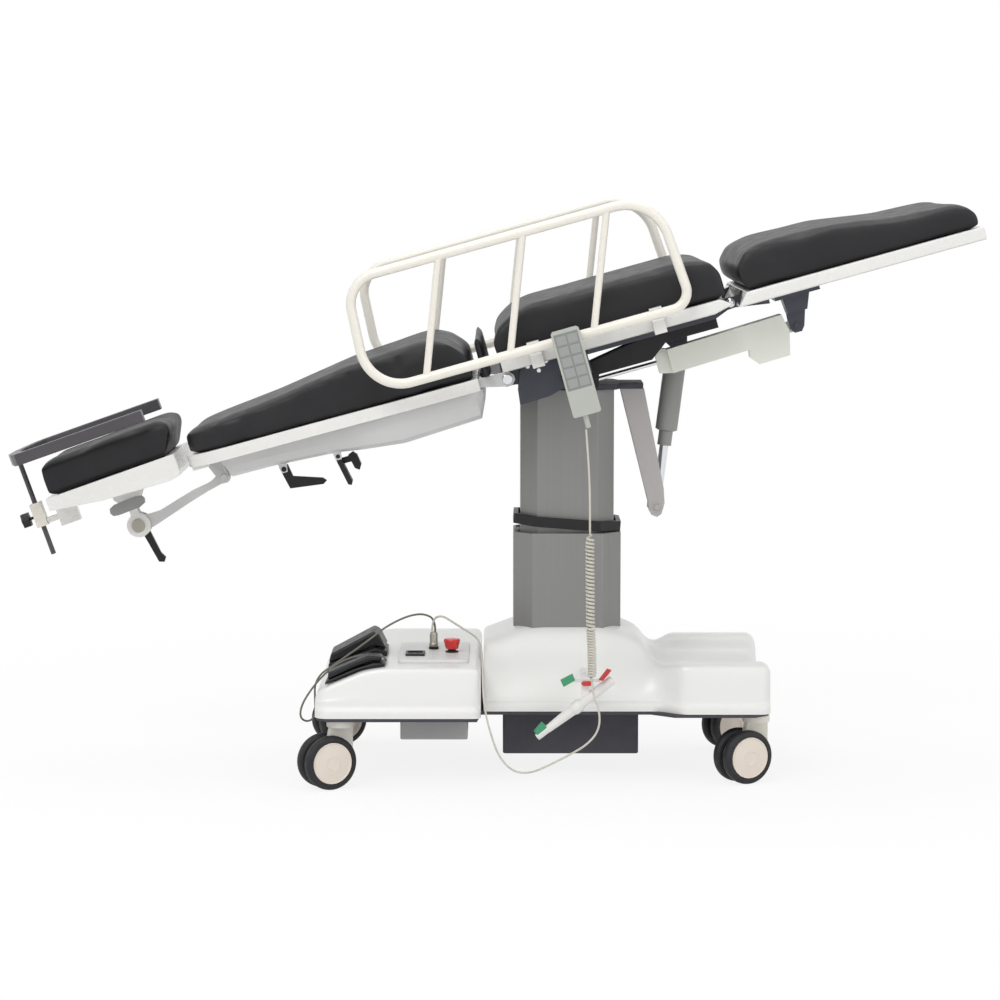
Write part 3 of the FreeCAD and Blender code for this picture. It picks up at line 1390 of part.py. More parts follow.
def make_head_knobs():
    """Lock knob and lock lever at the hub, and the star knob of the clamp."""
    lever = new_body("lock_lever")
    side = [(-8, -2), (8, -2), (16, -70), (22, -82), (16, -90), (6, -86)]
    pad(lever, outline(lever, "XZ_Plane", [side], offset=-33), 10, symmetric=True)
    boss = pin("lever_boss", 14, (0, 24.3, 0), 13.7)
    keep(fuse("lever_form", [lever, boss]), "head_lock_lever", HEAD)
    knob = new_body("lock_knob")
    low = D.head_pad_low - 69
    oval = [(-35, low - 3), (-31, low - 10), (-20, low - 12), (24, low - 11), (36, low - 6), (38, low + 2),
            (34, low + 9), (22, low + 12), (-24, low + 10), (-33, low + 6)]
    pad(knob, outline(knob, "XZ_Plane", [oval], offset=78), 18, symmetric=True)
    stem = pin("knob_stem", 4, (-6, -74, low - 2), 53)
    keep(fuse("knob_form_fused", [knob, stem]), "head_lock_knob", HEAD)
    star = new_body("clamp_knob")
    count = 6
    points = []
    for index in range(2 * count):
        reach = 16 if index % 2 == 0 else 12.5
        turn = math.pi * index / count
        points.append((reach * math.cos(turn), 84 + reach * math.sin(turn)))
    start = D.wrist_out - 36
    pad(star, outline(star, "YZ_Plane", [points], offset=start), 16)
    thread = outline(star, "YZ_Plane", circles=[((0, 84), 3)], offset=start + 16)
    pad(star, thread, 9)
    return keep(star, "wrist_clamp_knob", HEAD)


def make_wrist_bar():
    """Flat bar bent round the head pad at three sides, on its own post."""
    body = new_body("wrist_frame")
    half = D.wrist_half + D.wrist_bar_wide / 2
    inner = D.wrist_half - D.wrist_bar_wide / 2
    out = D.wrist_out
    reach = D.wrist_reach
    outside = [(reach, half), (out + 40, half), (out + 22, half - 7), (out + 12, half - 26), (out - 9, 40)]
    inside = [(out + 13, 40), (out + 34, inner - 22), (out + 44, inner), (reach, inner)]
    plan = outside + [(x, -y) for x, y in reversed(outside)]
    back = [(x, -y) for x, y in reversed(inside)] + inside
    pad(body, outline(body, "XY_Plane", [plan + back], offset=D.wrist_height - D.wrist_bar_high / 2),
        D.wrist_bar_high)
    post_low = D.wrist_post_low
    post = pin("wrist_post", D.wrist_post_radius, (out, 0, post_low), D.wrist_height - post_low - 8, "z")
    return keep(fuse("wrist_bar_form", [body, post]), "wrist_bar", HEAD)


# Cords


def make_cord(label, points, width):
    solid, wire, radii = tube_shape(points, width / 2)
    section = math.pi * float(width) ** 2 / 4
    part = shaped(label, solid)
    ratio = solid.Volume / (section * wire.Length)
    print(label, "length %.0f mm, least bend %.1f mm, volume ratio %.4f" % (wire.Length, min(radii), ratio))
    if min(radii) < 5 * float(width) * 0.999:
        print(label, "bends:", ["%.0f" % r for r in radii])
    return part


def make_cords():
    """The hand control's lead and curl, and the two leads that end in the plug."""
    x = 30
    y = -314
    plug_top = D.cover_top.number + D.panel_thick.number + 35
    make_cord("hand_lead", [(x, y, 706), (x + 4, y, 656), (x + 7, y, 604), (x + 8, y, 552), (x + 8, y, 506)],
              D.hand_lead)
    curl_low = 222
    make_cord("curly_cord", [(x + 8, y, 506), (x + 8, y, 450), (x + 9, y, 392), (x + 9, y, 334),
                             (x + 13, y, 276), (x + 13, y, curl_low)], D.curl_wide)
    make_cord("base_lead", [
        (x + 13, y, curl_low), (x + 13, y, 200), (58, y, 164), (57, y - 1, 126), (34, y - 2, 98), (0, y - 1, 78),
        (-38, y, 58), (-76, y + 2, 41), (-110, y + 6, 44), (-136, y + 12, 72), (-150, y + 18, 110),
        (-161, y + 24, 150), (-166, y + 30, 190), (-167, y + 44, 228), (-168, y + 78, 258),
        (-172, y + 128, 275), (-184, y + 176, 283), (-206, y + 208, 291), (-229, y + 229, 303),
        (-251, y + 243, 314), (-269, y + 250, 304), (-269, y + 250, plug_top)], D.hand_lead)
    make_cord("foot_cord", [
        (-357, -196, 243), (-357, -172, 245), (-386, -164, 251), (-422, -170, 246), (-456, -174, 231),
        (-484, -177, 207), (-506, -179, 180), (-523, -181, 152), (-527, -180, 129), (-518, -178, 119),
        (-506, -174, 119), (-497, -171, 129), (-497, -168, 147), (-498, -165, 168), (-498, -162, 190),
        (-486, -158, 211),
        (-462, -156, 226), (-438, -153, 243), (-413, -150, 260), (-388, -144, 278), (-363, -128, 296),
        (-337, -106, 308), (-310, -84, 316), (-284, -67, 316), (-263, -57, 303), (-263, -57, plug_top)],
        D.foot_lead)


def export():
    DOC.recompute()
    os.makedirs("parts", exist_ok=True)
    for thing in DOC.Objects:
        if "Invalid" in thing.State or "Error" in thing.State:
            raise ValueError("%s: %s" % (thing.Name, thing.getStatusString()))
    for piece in PARTS:
        if piece.Shape.isNull() or not piece.Shape.isValid():
            raise ValueError("%s has no valid shape" % piece.Label)
        piece.Shape.exportStep("parts/%s.step" % piece.Label)


def make_base():
    make_chassis()
    make_left_cover()
    make_main_cover()
    make_control_panel()
    make_panel_fittings()
    make_stop_button()
    make_cord_plug()
    make_lower_column()
    make_column_ring()
    make_under_boxes()
    make_foot_switches()
    make_brake()
    turned = 180 + D.caster_turn
    for name, x, y in (("near_left", D.left_caster_x, -D.left_caster_y),
                       ("far_left", D.left_caster_x, D.left_caster_y),
                       ("near_right", D.right_caster_x, -D.right_caster_y),
                       ("far_right", D.right_caster_x, D.right_caster_y)):
        make_caster(name, x, y, turned)


def make_column():
    make_upper_column()
    make_column_head()
    make_torque_arms()
    spot, span = tilt_drive()
    make_tilt_rod(spot, span)
    make_tilt_housing(spot, span)


def make_bed():
    make_seat_tray()
    make_seat_cushion()
    make_seat_frame()
    make_cheek_plates()
    make_hinge_pins()
    make_hand_control()
    make_rail("near_side_rail", -1)
    make_rail("far_side_rail", 1)
    make_leg_tray()
    make_leg_cushion()
    make_leg_bracket()
    make_leg_drive()
    make_back_tray()
    make_back_cushion()
    make_back_shroud()
    make_back_hinge()
    make_back_fittings()


def make_head():
    make_head_arm()
    make_head_tray()
    make_head_cushion()
    make_head_knobs()
    make_wrist_bar()


make_base()
make_column()
make_bed()
make_head()
make_cords()
export()
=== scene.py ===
import json
import math

import bmesh
import bpy
from mathutils import Matrix, Vector


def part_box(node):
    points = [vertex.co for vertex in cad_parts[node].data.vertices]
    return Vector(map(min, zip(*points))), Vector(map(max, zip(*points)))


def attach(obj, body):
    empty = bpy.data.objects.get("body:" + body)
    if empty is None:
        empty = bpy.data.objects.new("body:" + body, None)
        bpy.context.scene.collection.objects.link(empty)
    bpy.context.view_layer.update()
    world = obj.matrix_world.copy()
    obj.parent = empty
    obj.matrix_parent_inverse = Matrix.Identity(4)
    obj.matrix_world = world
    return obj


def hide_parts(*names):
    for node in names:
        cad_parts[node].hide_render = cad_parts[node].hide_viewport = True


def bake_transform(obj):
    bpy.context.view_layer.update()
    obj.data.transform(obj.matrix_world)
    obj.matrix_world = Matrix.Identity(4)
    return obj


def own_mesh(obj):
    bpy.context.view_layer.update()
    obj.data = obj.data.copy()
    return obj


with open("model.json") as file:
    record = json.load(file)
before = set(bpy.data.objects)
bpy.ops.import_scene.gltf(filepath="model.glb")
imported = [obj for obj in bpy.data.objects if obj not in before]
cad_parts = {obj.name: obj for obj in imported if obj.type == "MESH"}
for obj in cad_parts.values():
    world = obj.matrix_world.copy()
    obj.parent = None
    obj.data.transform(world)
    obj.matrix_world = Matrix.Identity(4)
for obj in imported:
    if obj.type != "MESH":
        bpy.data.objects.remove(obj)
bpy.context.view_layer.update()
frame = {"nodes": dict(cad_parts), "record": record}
NODES = frame["nodes"]
BODIES = frame["record"]["behaviour"]["bodies"]
BODY_OF = {node: body for body, nodes in BODIES.items() for node in nodes}

# The bed's tilt and pivot and the head section's tilt, as in the part's source
BED_TILT = math.radians(15.5)
PIVOT = Vector((0, 0, 0.798))
HEAD_TILT = BED_TILT + math.radians(4)


def in_bed(x, y, z):
    """World point of a place in the bed's frame, given in millimetres."""
    turn = Matrix.Rotation(-BED_TILT, 3, "Y")
    return PIVOT + turn @ Vector((x, y, z)) / 1000


# Middle of the hub that the head section turns on
HUB = in_bed(-909, 0, -70)


def metres(points):
    """World points of places given in millimetres."""
    return [Vector(point) / 1000 for point in points]


# Camera, light and floor

# Fitted to the photograph
CAMERA_PLACE = (-0.1336, -6.15, 1.1996)
CAMERA_DIP = math.radians(6.15)
FOCAL_LENGTH = 110.88


def make_camera():
    """Camera in front of the table, looking along the world's Y axis and a little down."""
    data = bpy.data.cameras.new("view")
    data.sensor_width = 36
    data.lens = FOCAL_LENGTH
    data.clip_start = 0.1
    data.clip_end = 60
    camera = bpy.data.objects.new("view", data)
    bpy.context.scene.collection.objects.link(camera)
    camera.location = CAMERA_PLACE
    camera.rotation_euler = (math.pi / 2 - CAMERA_DIP, 0, 0)
    bpy.context.scene.camera = camera


def ray_factor(nodes, links):
    """1 for camera, glossy and transmission rays, so that all of them see the white backdrop."""
    paths = nodes.new("ShaderNodeLightPath")
    first = nodes.new("ShaderNodeMath")
    first.operation = "MAXIMUM"
    second = nodes.new("ShaderNodeMath")
    second.operation = "MAXIMUM"
    links.new(paths.outputs["Is Camera Ray"], first.inputs[0])
    links.new(paths.outputs["Is Glossy Ray"], first.inputs[1])
    links.new(first.outputs[0], second.inputs[0])
    links.new(paths.outputs["Is Transmission Ray"], second.inputs[1])
    return second.outputs[0]


def make_world():
    """Soft warm light from all sides, behind which the backdrop itself shows white."""
    world = bpy.data.worlds.new("studio")
    bpy.context.scene.world = world
    world.use_nodes = True
    nodes, links = world.node_tree.nodes, world.node_tree.links
    nodes.clear()
    soft = nodes.new("ShaderNodeBackground")
    soft.inputs["Color"].default_value = (0.985, 0.98, 0.965, 1)
    soft.inputs["Strength"].default_value = 0.55
    white = nodes.new("ShaderNodeBackground")
    white.inputs["Color"].default_value = (1, 1, 1, 1)
    white.inputs["Strength"].default_value = 1
    mix = nodes.new("ShaderNodeMixShader")
    links.new(ray_factor(nodes, links), mix.inputs[0])
    links.new(soft.outputs[0], mix.inputs[1])
    links.new(white.outputs[0], mix.inputs[2])
    out = nodes.new("ShaderNodeOutputWorld")
    links.new(mix.outputs[0], out.inputs[0])


def make_light(name, place, aim, size, power):
    """A rectangular lamp at a place, turned towards its aim."""
    data = bpy.data.lights.new(name, "AREA")
    data.shape = "RECTANGLE"
    data.size, data.size_y = size
    data.energy = power
    lamp = bpy.data.objects.new(name, data)
    bpy.context.scene.collection.objects.link(lamp)
    lamp.location = place
    lamp.rotation_euler = (Vector(aim) - Vector(place)).to_track_quat("-Z", "Y").to_euler()


def make_floor():
    """White floor with a faint shadow near the table, that fades out with the distance."""
    mesh = bpy.data.meshes.new("floor")
    half = 14
    corners = [(-half, -half, 0), (half, -half, 0), (half, half, 0), (-half, half, 0)]
    mesh.from_pydata(corners, [], [(0, 1, 2, 3)])
    floor = bpy.data.objects.new("floor", mesh)
    bpy.context.scene.collection.objects.link(floor)
    material = bpy.data.materials.new("floor")
    material.use_nodes = True
    nodes, links = material.node_tree.nodes, material.node_tree.links
    nodes.clear()
    matt = nodes.new("ShaderNodeBsdfDiffuse")
    matt.inputs["Color"].default_value = (0.93, 0.93, 0.93, 1)
    glow = nodes.new("ShaderNodeEmission")
    glow.inputs["Strength"].default_value = 1
    space = nodes.new("ShaderNodeTexCoord")
    reach = nodes.new("ShaderNodeVectorMath")
    reach.operation = "LENGTH"
    links.new(space.outputs["Object"], reach.inputs[0])
    fade = nodes.new("ShaderNodeMapRange")
    fade.inputs["From Min"].default_value = 0.6
    fade.inputs["From Max"].default_value = 2.2
    fade.inputs["To Min"].default_value = 0.86
    fade.inputs["To Max"].default_value = 1.0
    links.new(reach.outputs["Value"], fade.inputs["Value"])
    share = nodes.new("ShaderNodeMath")
    share.operation = "MULTIPLY"
    links.new(fade.outputs["Result"], share.inputs[1])
    links.new(ray_factor(nodes, links), share.inputs[0])
    mix = nodes.new("ShaderNodeMixShader")
    links.new(share.outputs[0], mix.inputs[0])
    links.new(matt.outputs[0], mix.inputs[1])
    links.new(glow.outputs[0], mix.inputs[2])
    out = nodes.new("ShaderNodeOutputMaterial")
    links.new(mix.outputs[0], out.inputs[0])
    mesh.materials.append(material)


# Materials: each is built from noise in the piece's own space


class Look:
    """One material's node tree, with short ways to add its parts."""

    def __init__(self, name, colour, roughness, metallic=0.0):
        self.material = bpy.data.materials.new(name)
        self.material.use_nodes = True
        self.nodes = self.material.node_tree.nodes
        self.links = self.material.node_tree.links
        self.shader = self.nodes["Principled BSDF"]
        self.colour = (*colour, 1)
        self.shader.inputs["Base Color"].default_value = self.colour
        self.shader.inputs["Roughness"].default_value = roughness
        self.shader.inputs["Metallic"].default_value = metallic
        self.space = self.nodes.new("ShaderNodeTexCoord").outputs["Object"]
        self.last_normal = None

    def noise(self, scale, detail, stretch=(1, 1, 1)):
        mapping = self.nodes.new("ShaderNodeMapping")
        mapping.inputs["Scale"].default_value = stretch
        self.links.new(self.space, mapping.inputs["Vector"])
        node = self.nodes.new("ShaderNodeTexNoise")
        node.inputs["Scale"].default_value = scale
        node.inputs["Detail"].default_value = detail
        self.links.new(mapping.outputs[0], node.inputs["Vector"])
        return node.outputs["Fac"]

    def cells(self, scale):
        node = self.nodes.new("ShaderNodeTexVoronoi")
        node.inputs["Scale"].default_value = scale
        node.feature = "DISTANCE_TO_EDGE"
        self.links.new(self.space, node.inputs["Vector"])
        return node.outputs["Distance"]

    def spread(self, source, low, high):
        """Map a texture's middle range to low..high."""
        node = self.nodes.new("ShaderNodeMapRange")
        node.inputs["From Min"].default_value = 0.3
        node.inputs["From Max"].default_value = 0.7
        node.inputs["To Min"].default_value = low
        node.inputs["To Max"].default_value = high
        self.links.new(source, node.inputs["Value"])
        return node.outputs["Result"]

    def vary_roughness(self, source, low, high):
        self.links.new(self.spread(source, low, high), self.shader.inputs["Roughness"])

    def vary_colour(self, source, other, share):
        mix = self.nodes.new("ShaderNodeMix")
        mix.data_type = "RGBA"
        mix.inputs["A"].default_value = self.colour
        mix.inputs["B"].default_value = (*other, 1)
        self.links.new(self.spread(source, 0, share), mix.inputs["Factor"])
        self.links.new(mix.outputs["Result"], self.shader.inputs["Base Color"])

    def bump(self, source, height, strength):
        node = self.nodes.new("ShaderNodeBump")
        node.inputs["Distance"].default_value = height
        node.inputs["Strength"].default_value = strength
        self.links.new(source, node.inputs["Height"])
        if self.last_normal:
            self.links.new(self.last_normal, node.inputs["Normal"])
        self.last_normal = node.outputs["Normal"]
        self.links.new(self.last_normal, self.shader.inputs["Normal"])


# Per surface: colour, roughness, metallic share; then, where the surface has them,
# wear (scale, detail, lowest and highest roughness), tint (scale, detail, other colour, share),
# grain (scale, detail, height, strength) and further sockets of the shader
SURFACES = {
    "white_cover": ((0.84, 0.84, 0.825), 0.3, 0, {
        "wear": (40, 3, 0.28, 0.33), "tint": (3.5, 2, (0.825, 0.825, 0.81), 0.7),
        "grain": (420, 2, 0.00006, 0.5), "Coat Weight": 0.15, "Coat Roughness": 0.15}),
    "panel_plastic": ((0.80, 0.805, 0.80), 0.45, 0, {
        "wear": (40, 3, 0.40, 0.52), "grain": (900, 2, 0.00012, 0.6)}),
    "cream_enamel": ((0.80, 0.77, 0.70), 0.42, 0, {
        "wear": (60, 3, 0.36, 0.5), "tint": (7, 3, (0.76, 0.72, 0.64), 0.7),
        "grain": (700, 2, 0.00012, 0.6)}),
    "rail_enamel": ((0.83, 0.80, 0.73), 0.3, 0, {
        "wear": (50, 3, 0.24, 0.36), "grain": (500, 2, 0.00008, 0.5), "Coat Weight": 0.3,
        "Coat Roughness": 0.2}),
    "tray_white": ((0.80, 0.795, 0.775), 0.26, 0, {
        "wear": (30, 3, 0.22, 0.32), "tint": (5, 2, (0.76, 0.755, 0.735), 0.7),
        "grain": (400, 2, 0.00006, 0.5), "Coat Weight": 0.3, "Coat Roughness": 0.15}),
    "charcoal_satin": ((0.062, 0.058, 0.066), 0.36, 0.15, {
        "wear": (45, 3, 0.3, 0.42), "tint": (8, 4, (0.085, 0.08, 0.088), 0.8),
        "grain": (800, 2, 0.0001, 0.5)}),
    "blue_grey_satin": ((0.042, 0.044, 0.062), 0.42, 0.1, {
        "wear": (45, 3, 0.34, 0.5), "tint": (8, 4, (0.058, 0.060, 0.080), 0.8),
        "grain": (800, 2, 0.0001, 0.5)}),
    "dark_chassis": ((0.045, 0.042, 0.055), 0.5, 0, {
        "wear": (30, 3, 0.46, 0.62), "grain": (600, 2, 0.00012, 0.6)}),
    "silver_shroud": ((0.60, 0.60, 0.60), 0.32, 0.2, {
        "wear": (25, 3, 0.32, 0.45), "grain": (900, 2, 0.00008, 0.5)}),
    "steel_chrome": ((0.72, 0.73, 0.75), 0.12, 1, {"wear": (80, 3, 0.08, 0.18)}),
    "black_plastic": ((0.010, 0.010, 0.011), 0.4, 0, {
        "wear": (60, 3, 0.36, 0.5), "grain": (1100, 2, 0.0001, 0.6), "Specular IOR Level": 0.35}),
    "tyre_rubber": ((0.016, 0.016, 0.019), 0.55, 0, {
        "wear": (70, 4, 0.54, 0.72), "tint": (30, 4, (0.028, 0.028, 0.03), 0.6),
        "grain": (500, 3, 0.00018, 0.6),
        "Specular IOR Level": 0.4}),
    "pale_cable": ((0.62, 0.60, 0.53), 0.45, 0, {
        "wear": (200, 3, 0.38, 0.52), "tint": (40, 3, (0.50, 0.48, 0.42), 0.6),
        "grain": (900, 2, 0.00006, 0.6)}),
    "grey_cable": ((0.16, 0.155, 0.13), 0.45, 0, {
        "wear": (200, 3, 0.38, 0.52), "grain": (900, 2, 0.00006, 0.6)}),
    "grey_box": ((0.42, 0.42, 0.425), 0.45, 0, {
        "wear": (50, 3, 0.38, 0.52), "tint": (6, 3, (0.36, 0.36, 0.365), 0.7),
        "grain": (500, 2, 0.00012, 0.5)}),
    "taupe_enamel": ((0.47, 0.445, 0.45), 0.4, 0, {
        "wear": (50, 3, 0.34, 0.48), "tint": (5, 3, (0.41, 0.39, 0.395), 0.7),
        "grain": (600, 2, 0.0001, 0.5)}),
    "pale_green_enamel": ((0.74, 0.755, 0.69), 0.42, 0, {
        "wear": (50, 3, 0.36, 0.5), "grain": (700, 2, 0.0001, 0.5)}),
    "drive_plastic": ((0.30, 0.305, 0.30), 0.42, 0, {
        "wear": (50, 3, 0.36, 0.5), "tint": (6, 3, (0.25, 0.25, 0.245), 0.7),
        "grain": (700, 2, 0.0001, 0.5)}),
    "warm_metal": ((0.36, 0.34, 0.29), 0.34, 0.8, {"wear": (90, 3, 0.28, 0.42)}),
    "hub_plastic": ((0.80, 0.72, 0.64), 0.4, 0, {
        "wear": (60, 3, 0.34, 0.46), "grain": (800, 2, 0.0001, 0.5)}),
    "red_button": ((0.62, 0.02, 0.015), 0.28, 0, {
        "wear": (80, 3, 0.24, 0.34), "Coat Weight": 0.3, "Coat Roughness": 0.15}),
    "red_grip": ((0.55, 0.04, 0.04), 0.5, 0, {"grain": (400, 2, 0.0002, 0.6)}),
    "green_grip": ((0.05, 0.30, 0.15), 0.5, 0, {"grain": (400, 2, 0.0002, 0.6)}),
    "control_case": ((0.45, 0.465, 0.425), 0.42, 0, {
        "wear": (60, 3, 0.38, 0.52), "grain": (1200, 2, 0.0001, 0.6)}),
    "key_film": ((0.25, 0.265, 0.255), 0.3, 0, {
        "wear": (90, 3, 0.26, 0.38), "tint": (30, 3, (0.21, 0.225, 0.215), 0.7)}),
    "key_grey": ((0.31, 0.325, 0.31), 0.34, 0, {"wear": (90, 3, 0.3, 0.4)}),
}


def column_look():
    """Extruded metal, streaked along its height."""
    look = Look("grey_extrusion", (0.25, 0.25, 0.245), 0.4, 0.35)
    look.vary_colour(look.noise(300, 2, (1, 1, 0.01)), (0.235, 0.235, 0.23), 0.7)
    look.vary_roughness(look.noise(160, 2, (1, 1, 0.02)), 0.36, 0.46)
    look.bump(look.noise(300, 2, (1, 1, 0.01)), 0.00006, 0.6)
    return look


def upholstery_look():
    """Black vinyl with a cell grain over soft waves."""
    look = Look("black_upholstery", (0.010, 0.010, 0.012), 0.46)
    look.shader.inputs["Specular IOR Level"].default_value = 0.32
    look.vary_roughness(look.noise(35, 4), 0.40, 0.54)
    look.vary_colour(look.noise(9, 5), (0.017, 0.017, 0.019), 0.9)
    look.bump(look.cells(620), 0.00016, 0.5)
    look.bump(look.noise(22, 3), 0.0008, 0.3)
    return look


def surface_look(name):
    """A look from its row in SURFACES."""
    colour, roughness, metallic, details = SURFACES[name]
    look = Look(name, colour, roughness, metallic)
    for key, value in details.items():
        if key == "wear":
            look.vary_roughness(look.noise(*value[:2]), *value[2:])
        elif key == "tint":
            look.vary_colour(look.noise(*value[:2]), *value[2:])
        elif key == "grain":
            look.bump(look.noise(*value[:2]), *value[2:])
        else:
            look.shader.inputs[key].default_value = value
    return look


def make_materials():
    """All materials by name, each with its own colour in the solid view as well."""
    looks = {name: surface_look(name) for name in SURFACES}
    looks["grey_extrusion"] = column_look()
    looks["black_upholstery"] = upholstery_look()
    for look in looks.values():
        look.material.diffuse_color = look.colour
    return {name: look.material for name, look in looks.items()}


# Carried-over CAD nodes: the same shape with its edges broken

# Vertices nearer than this, in metres, become one
WELD = 0.00002
FLAT = math.radians(0.6)


def link(name, mesh):
    """A new object in the scene for the mesh or curve."""
    obj = bpy.data.objects.new(name, mesh)
    bpy.context.scene.collection.objects.link(obj)
    return obj


def cleaned_mesh(node):
    """The node's mesh welded, with the triangles of each flat face joined."""
    bm = bmesh.new()
    bm.from_mesh(NODES[node].data)
    bmesh.ops.remove_doubles(bm, verts=bm.verts, dist=WELD)
    bmesh.ops.dissolve_limit(bm, angle_limit=FLAT, verts=bm.verts, edges=bm.edges)
    mesh = bpy.data.meshes.new(node)
    bm.to_mesh(mesh)
    bm.free()
    return mesh


def soften(obj, width, segments=2, angle=32):
    """Break the edges sharper than angle, and shade the rest smooth."""
    bevel = obj.modifiers.new("edges", "BEVEL")
    bevel.width = width
    bevel.segments = segments
    bevel.limit_method = "ANGLE"
    bevel.angle_limit = math.radians(angle)
    bevel.harden_normals = False
    bevel.use_clamp_overlap = True
    obj.data.shade_smooth()
    obj.data.set_sharp_from_angle(angle=math.radians(angle))


def bake(obj):
    """Apply every modifier, so that the mesh is final."""
    graph = bpy.context.evaluated_depsgraph_get()
    mesh = bpy.data.meshes.new_from_object(obj.evaluated_get(graph))
    obj.modifiers.clear()
    obj.data = mesh
    return obj


def dress(node, material, width=0.0012, segments=2, angle=32):
    """A piece with the node's own shape and broken edges, in place of it."""
    obj = link(node + "_body", cleaned_mesh(node))
    obj.data.materials.clear()
    obj.data.materials.append(material)
    soften(obj, width, segments, angle)
    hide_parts(node)
    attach(obj, BODY_OF[node])
    return obj


def paint(obj, material, test):
    """Give the faces whose centre passes the test another material."""
    obj.data.materials.append(material)
    for face in obj.data.polygons:
        if test(face.center):
            face.material_index = len(obj.data.materials) - 1


def to_bed(point):
    """Place in the bed's frame, in millimetres, of a world point."""
    turn = Matrix.Rotation(BED_TILT, 3, "Y")
    return turn @ (Vector(point) - PIVOT) * 1000


bpy.context.scene.view_settings.view_transform = "Standard"
make_camera()
make_world()
make_light("key", (-2.2, -4.2, 4.6), (0, 0, 0.7), (3.2, 2.4), 120)
make_light("fill", (3.6, -3.6, 2.8), (0, 0, 0.7), (3.0, 3.0), 50)
make_light("top", (0, 0.4, 4.8), (0, 0, 0.6), (4.0, 3.0), 75)
make_floor()
M = make_materials()

FINISHES = {
    "panel_plastic": ("control_panel",),
    "dark_chassis": ("chassis",),
    "grey_extrusion": ("lower_column", "upper_column"),
    "black_plastic": ("column_ring", "back_release_handle", "back_hook_lever", "head_lock_lever",
                      "panel_fittings"),
    "cream_enamel": ("near_left_caster_housing", "far_left_caster_housing", "near_right_caster_housing",
                     "far_right_caster_housing"),
    "rail_enamel": ("near_side_rail", "far_side_rail"),
    "blue_grey_satin": ("cheek_plates", "leg_brackets"),
    "steel_chrome": ("tilt_rod", "leg_drive_rods", "hinge_pins"),
    "taupe_enamel": ("torque_arms",),
    "drive_plastic": ("tilt_housing",),
    "pale_green_enamel": ("leg_drive_housing",),
    "control_case": ("hand_control",),
}


def dress_all():
    """Every rigid node but the covers and wheels, with the parts of some in a second material."""
    for finish, nodes in FINISHES.items():
        for node in nodes:
            dress(node, M[finish])
    for node in ("seat_tray", "leg_tray", "back_tray"):
        dress(node, M["tray_white"], 0.004, 4)
    tray = dress("head_tray", M["tray_white"], 0.004, 4)
    paint(tray, M["warm_metal"], lambda spot: spot.y < -0.0245 and (spot - HUB).length < 0.03)
    for node in ("near_foot_pedal", "far_foot_pedal", "foot_switch_bases"):
        dress(node, M["black_plastic"], 0.004, 3)
    dress("column_head", M["dark_chassis"])
    dress("back_brackets", M["silver_shroud"], 0.002, 3)
    dress("wrist_bar", M["charcoal_satin"], 0.004, 4)
    dress("wrist_clamp", M["cream_enamel"], 0.002, 3)
    dress("wrist_clamp_knob", M["black_plastic"], 0.003, 4)
    knob = dress("head_lock_knob", M["drive_plastic"], 0.004, 4)
    paint(knob, M["black_plastic"], lambda spot: spot.y > -0.0655)
    dress("head_arm", M["silver_shroud"], 0.006, 5)
    dress("back_shroud", M["silver_shroud"], 0.005, 4)
    brake = dress("brake_lever", M["tray_white"])
    paint(brake, M["black_plastic"], lambda spot: abs(spot.z - 0.2155) < 0.0075 and spot.x < 0.024)
    grips = dress("brake_pads", M["green_grip"], 0.002, 3)
    paint(grips, M["red_grip"], lambda spot: spot.x > 0.02 and spot.z > 0.2)
    button = dress("stop_button", M["red_button"], 0.0015, 3)
    plug = dress("cord_plug", M["warm_metal"], 0.0015, 3)
    boxes = dress("under_boxes", M["dark_chassis"], 0.003, 3)
    paint(boxes, M["grey_box"], lambda spot: spot.x < -0.18)
    beams = dress("seat_frame", M["blue_grey_satin"])
    paint(beams, M["tray_white"], lambda spot: abs(spot.y) > 0.1765 and to_bed(spot).z > 37.5)
    paint(beams, M["black_plastic"], lambda spot: -0.1595 < spot.y < -0.09 and to_bed(spot).z < 29.5)
    panel_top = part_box("control_panel")[1][2]
    paint(button, M["black_plastic"], lambda spot: spot.z < panel_top + 0.006)
    paint(plug, M["red_grip"], lambda spot: spot.z < panel_top + 0.004)


dress_all()


# Covers of the base: smooth shells over the CAD's faceted ones


def smooth_line(points, count):
    """Clamped cubic B-spline through a control polygon, as count places."""
    last = len(points) - 1
    knots = [0.0] * 3 + list(range(last - 1)) + [float(last - 2)] * 3
    places = []
    for step in range(count):
        t = min(step / (count - 1) * (last - 2), last - 2 - 1e-9)
        span = int(t) + 3
        near = [Vector(points[span - 3 + index]) for index in range(4)]
        for level in range(1, 4):
            for index in range(3, level - 1, -1):
                low = knots[span - 3 + index]
                high = knots[span + 1 + index - level]
                share = (t - low) / (high - low)
                near[index] = near[index - 1].lerp(near[index], share)
        places.append(near[3])
    return places


def ease(value, low, high):
    """0 below low, 1 above high, and a smooth step between."""
    share = min(1.0, max(0.0, (value - low) / (high - low)))
    return share * share * (3 - 2 * share)


def along_profile(profile, x):
    """Height of a side profile, rows (x, z), at x, with its corners rounded by averaging."""
    spread = 14

    def straight(at):
        if at <= profile[0][0]:
            return profile[0][1]
        for (x0, z0), (x1, z1) in zip(profile, profile[1:]):
            if at <= x1:
                return z0 + (z1 - z0) * (at - x0) / (x1 - x0)
        return profile[-1][1]

    return sum(straight(x + spread * offset / 4) for offset in range(-4, 5)) / 9


# Underside of the covers, and their flange as offsets outward from the wall and up from it
COVER_LOW = 141
FLANGE = [(-1, 27), (-1, 23), (0, 20), (5, 17), (7, 14), (7, 8), (6, 2), (6, 0)]


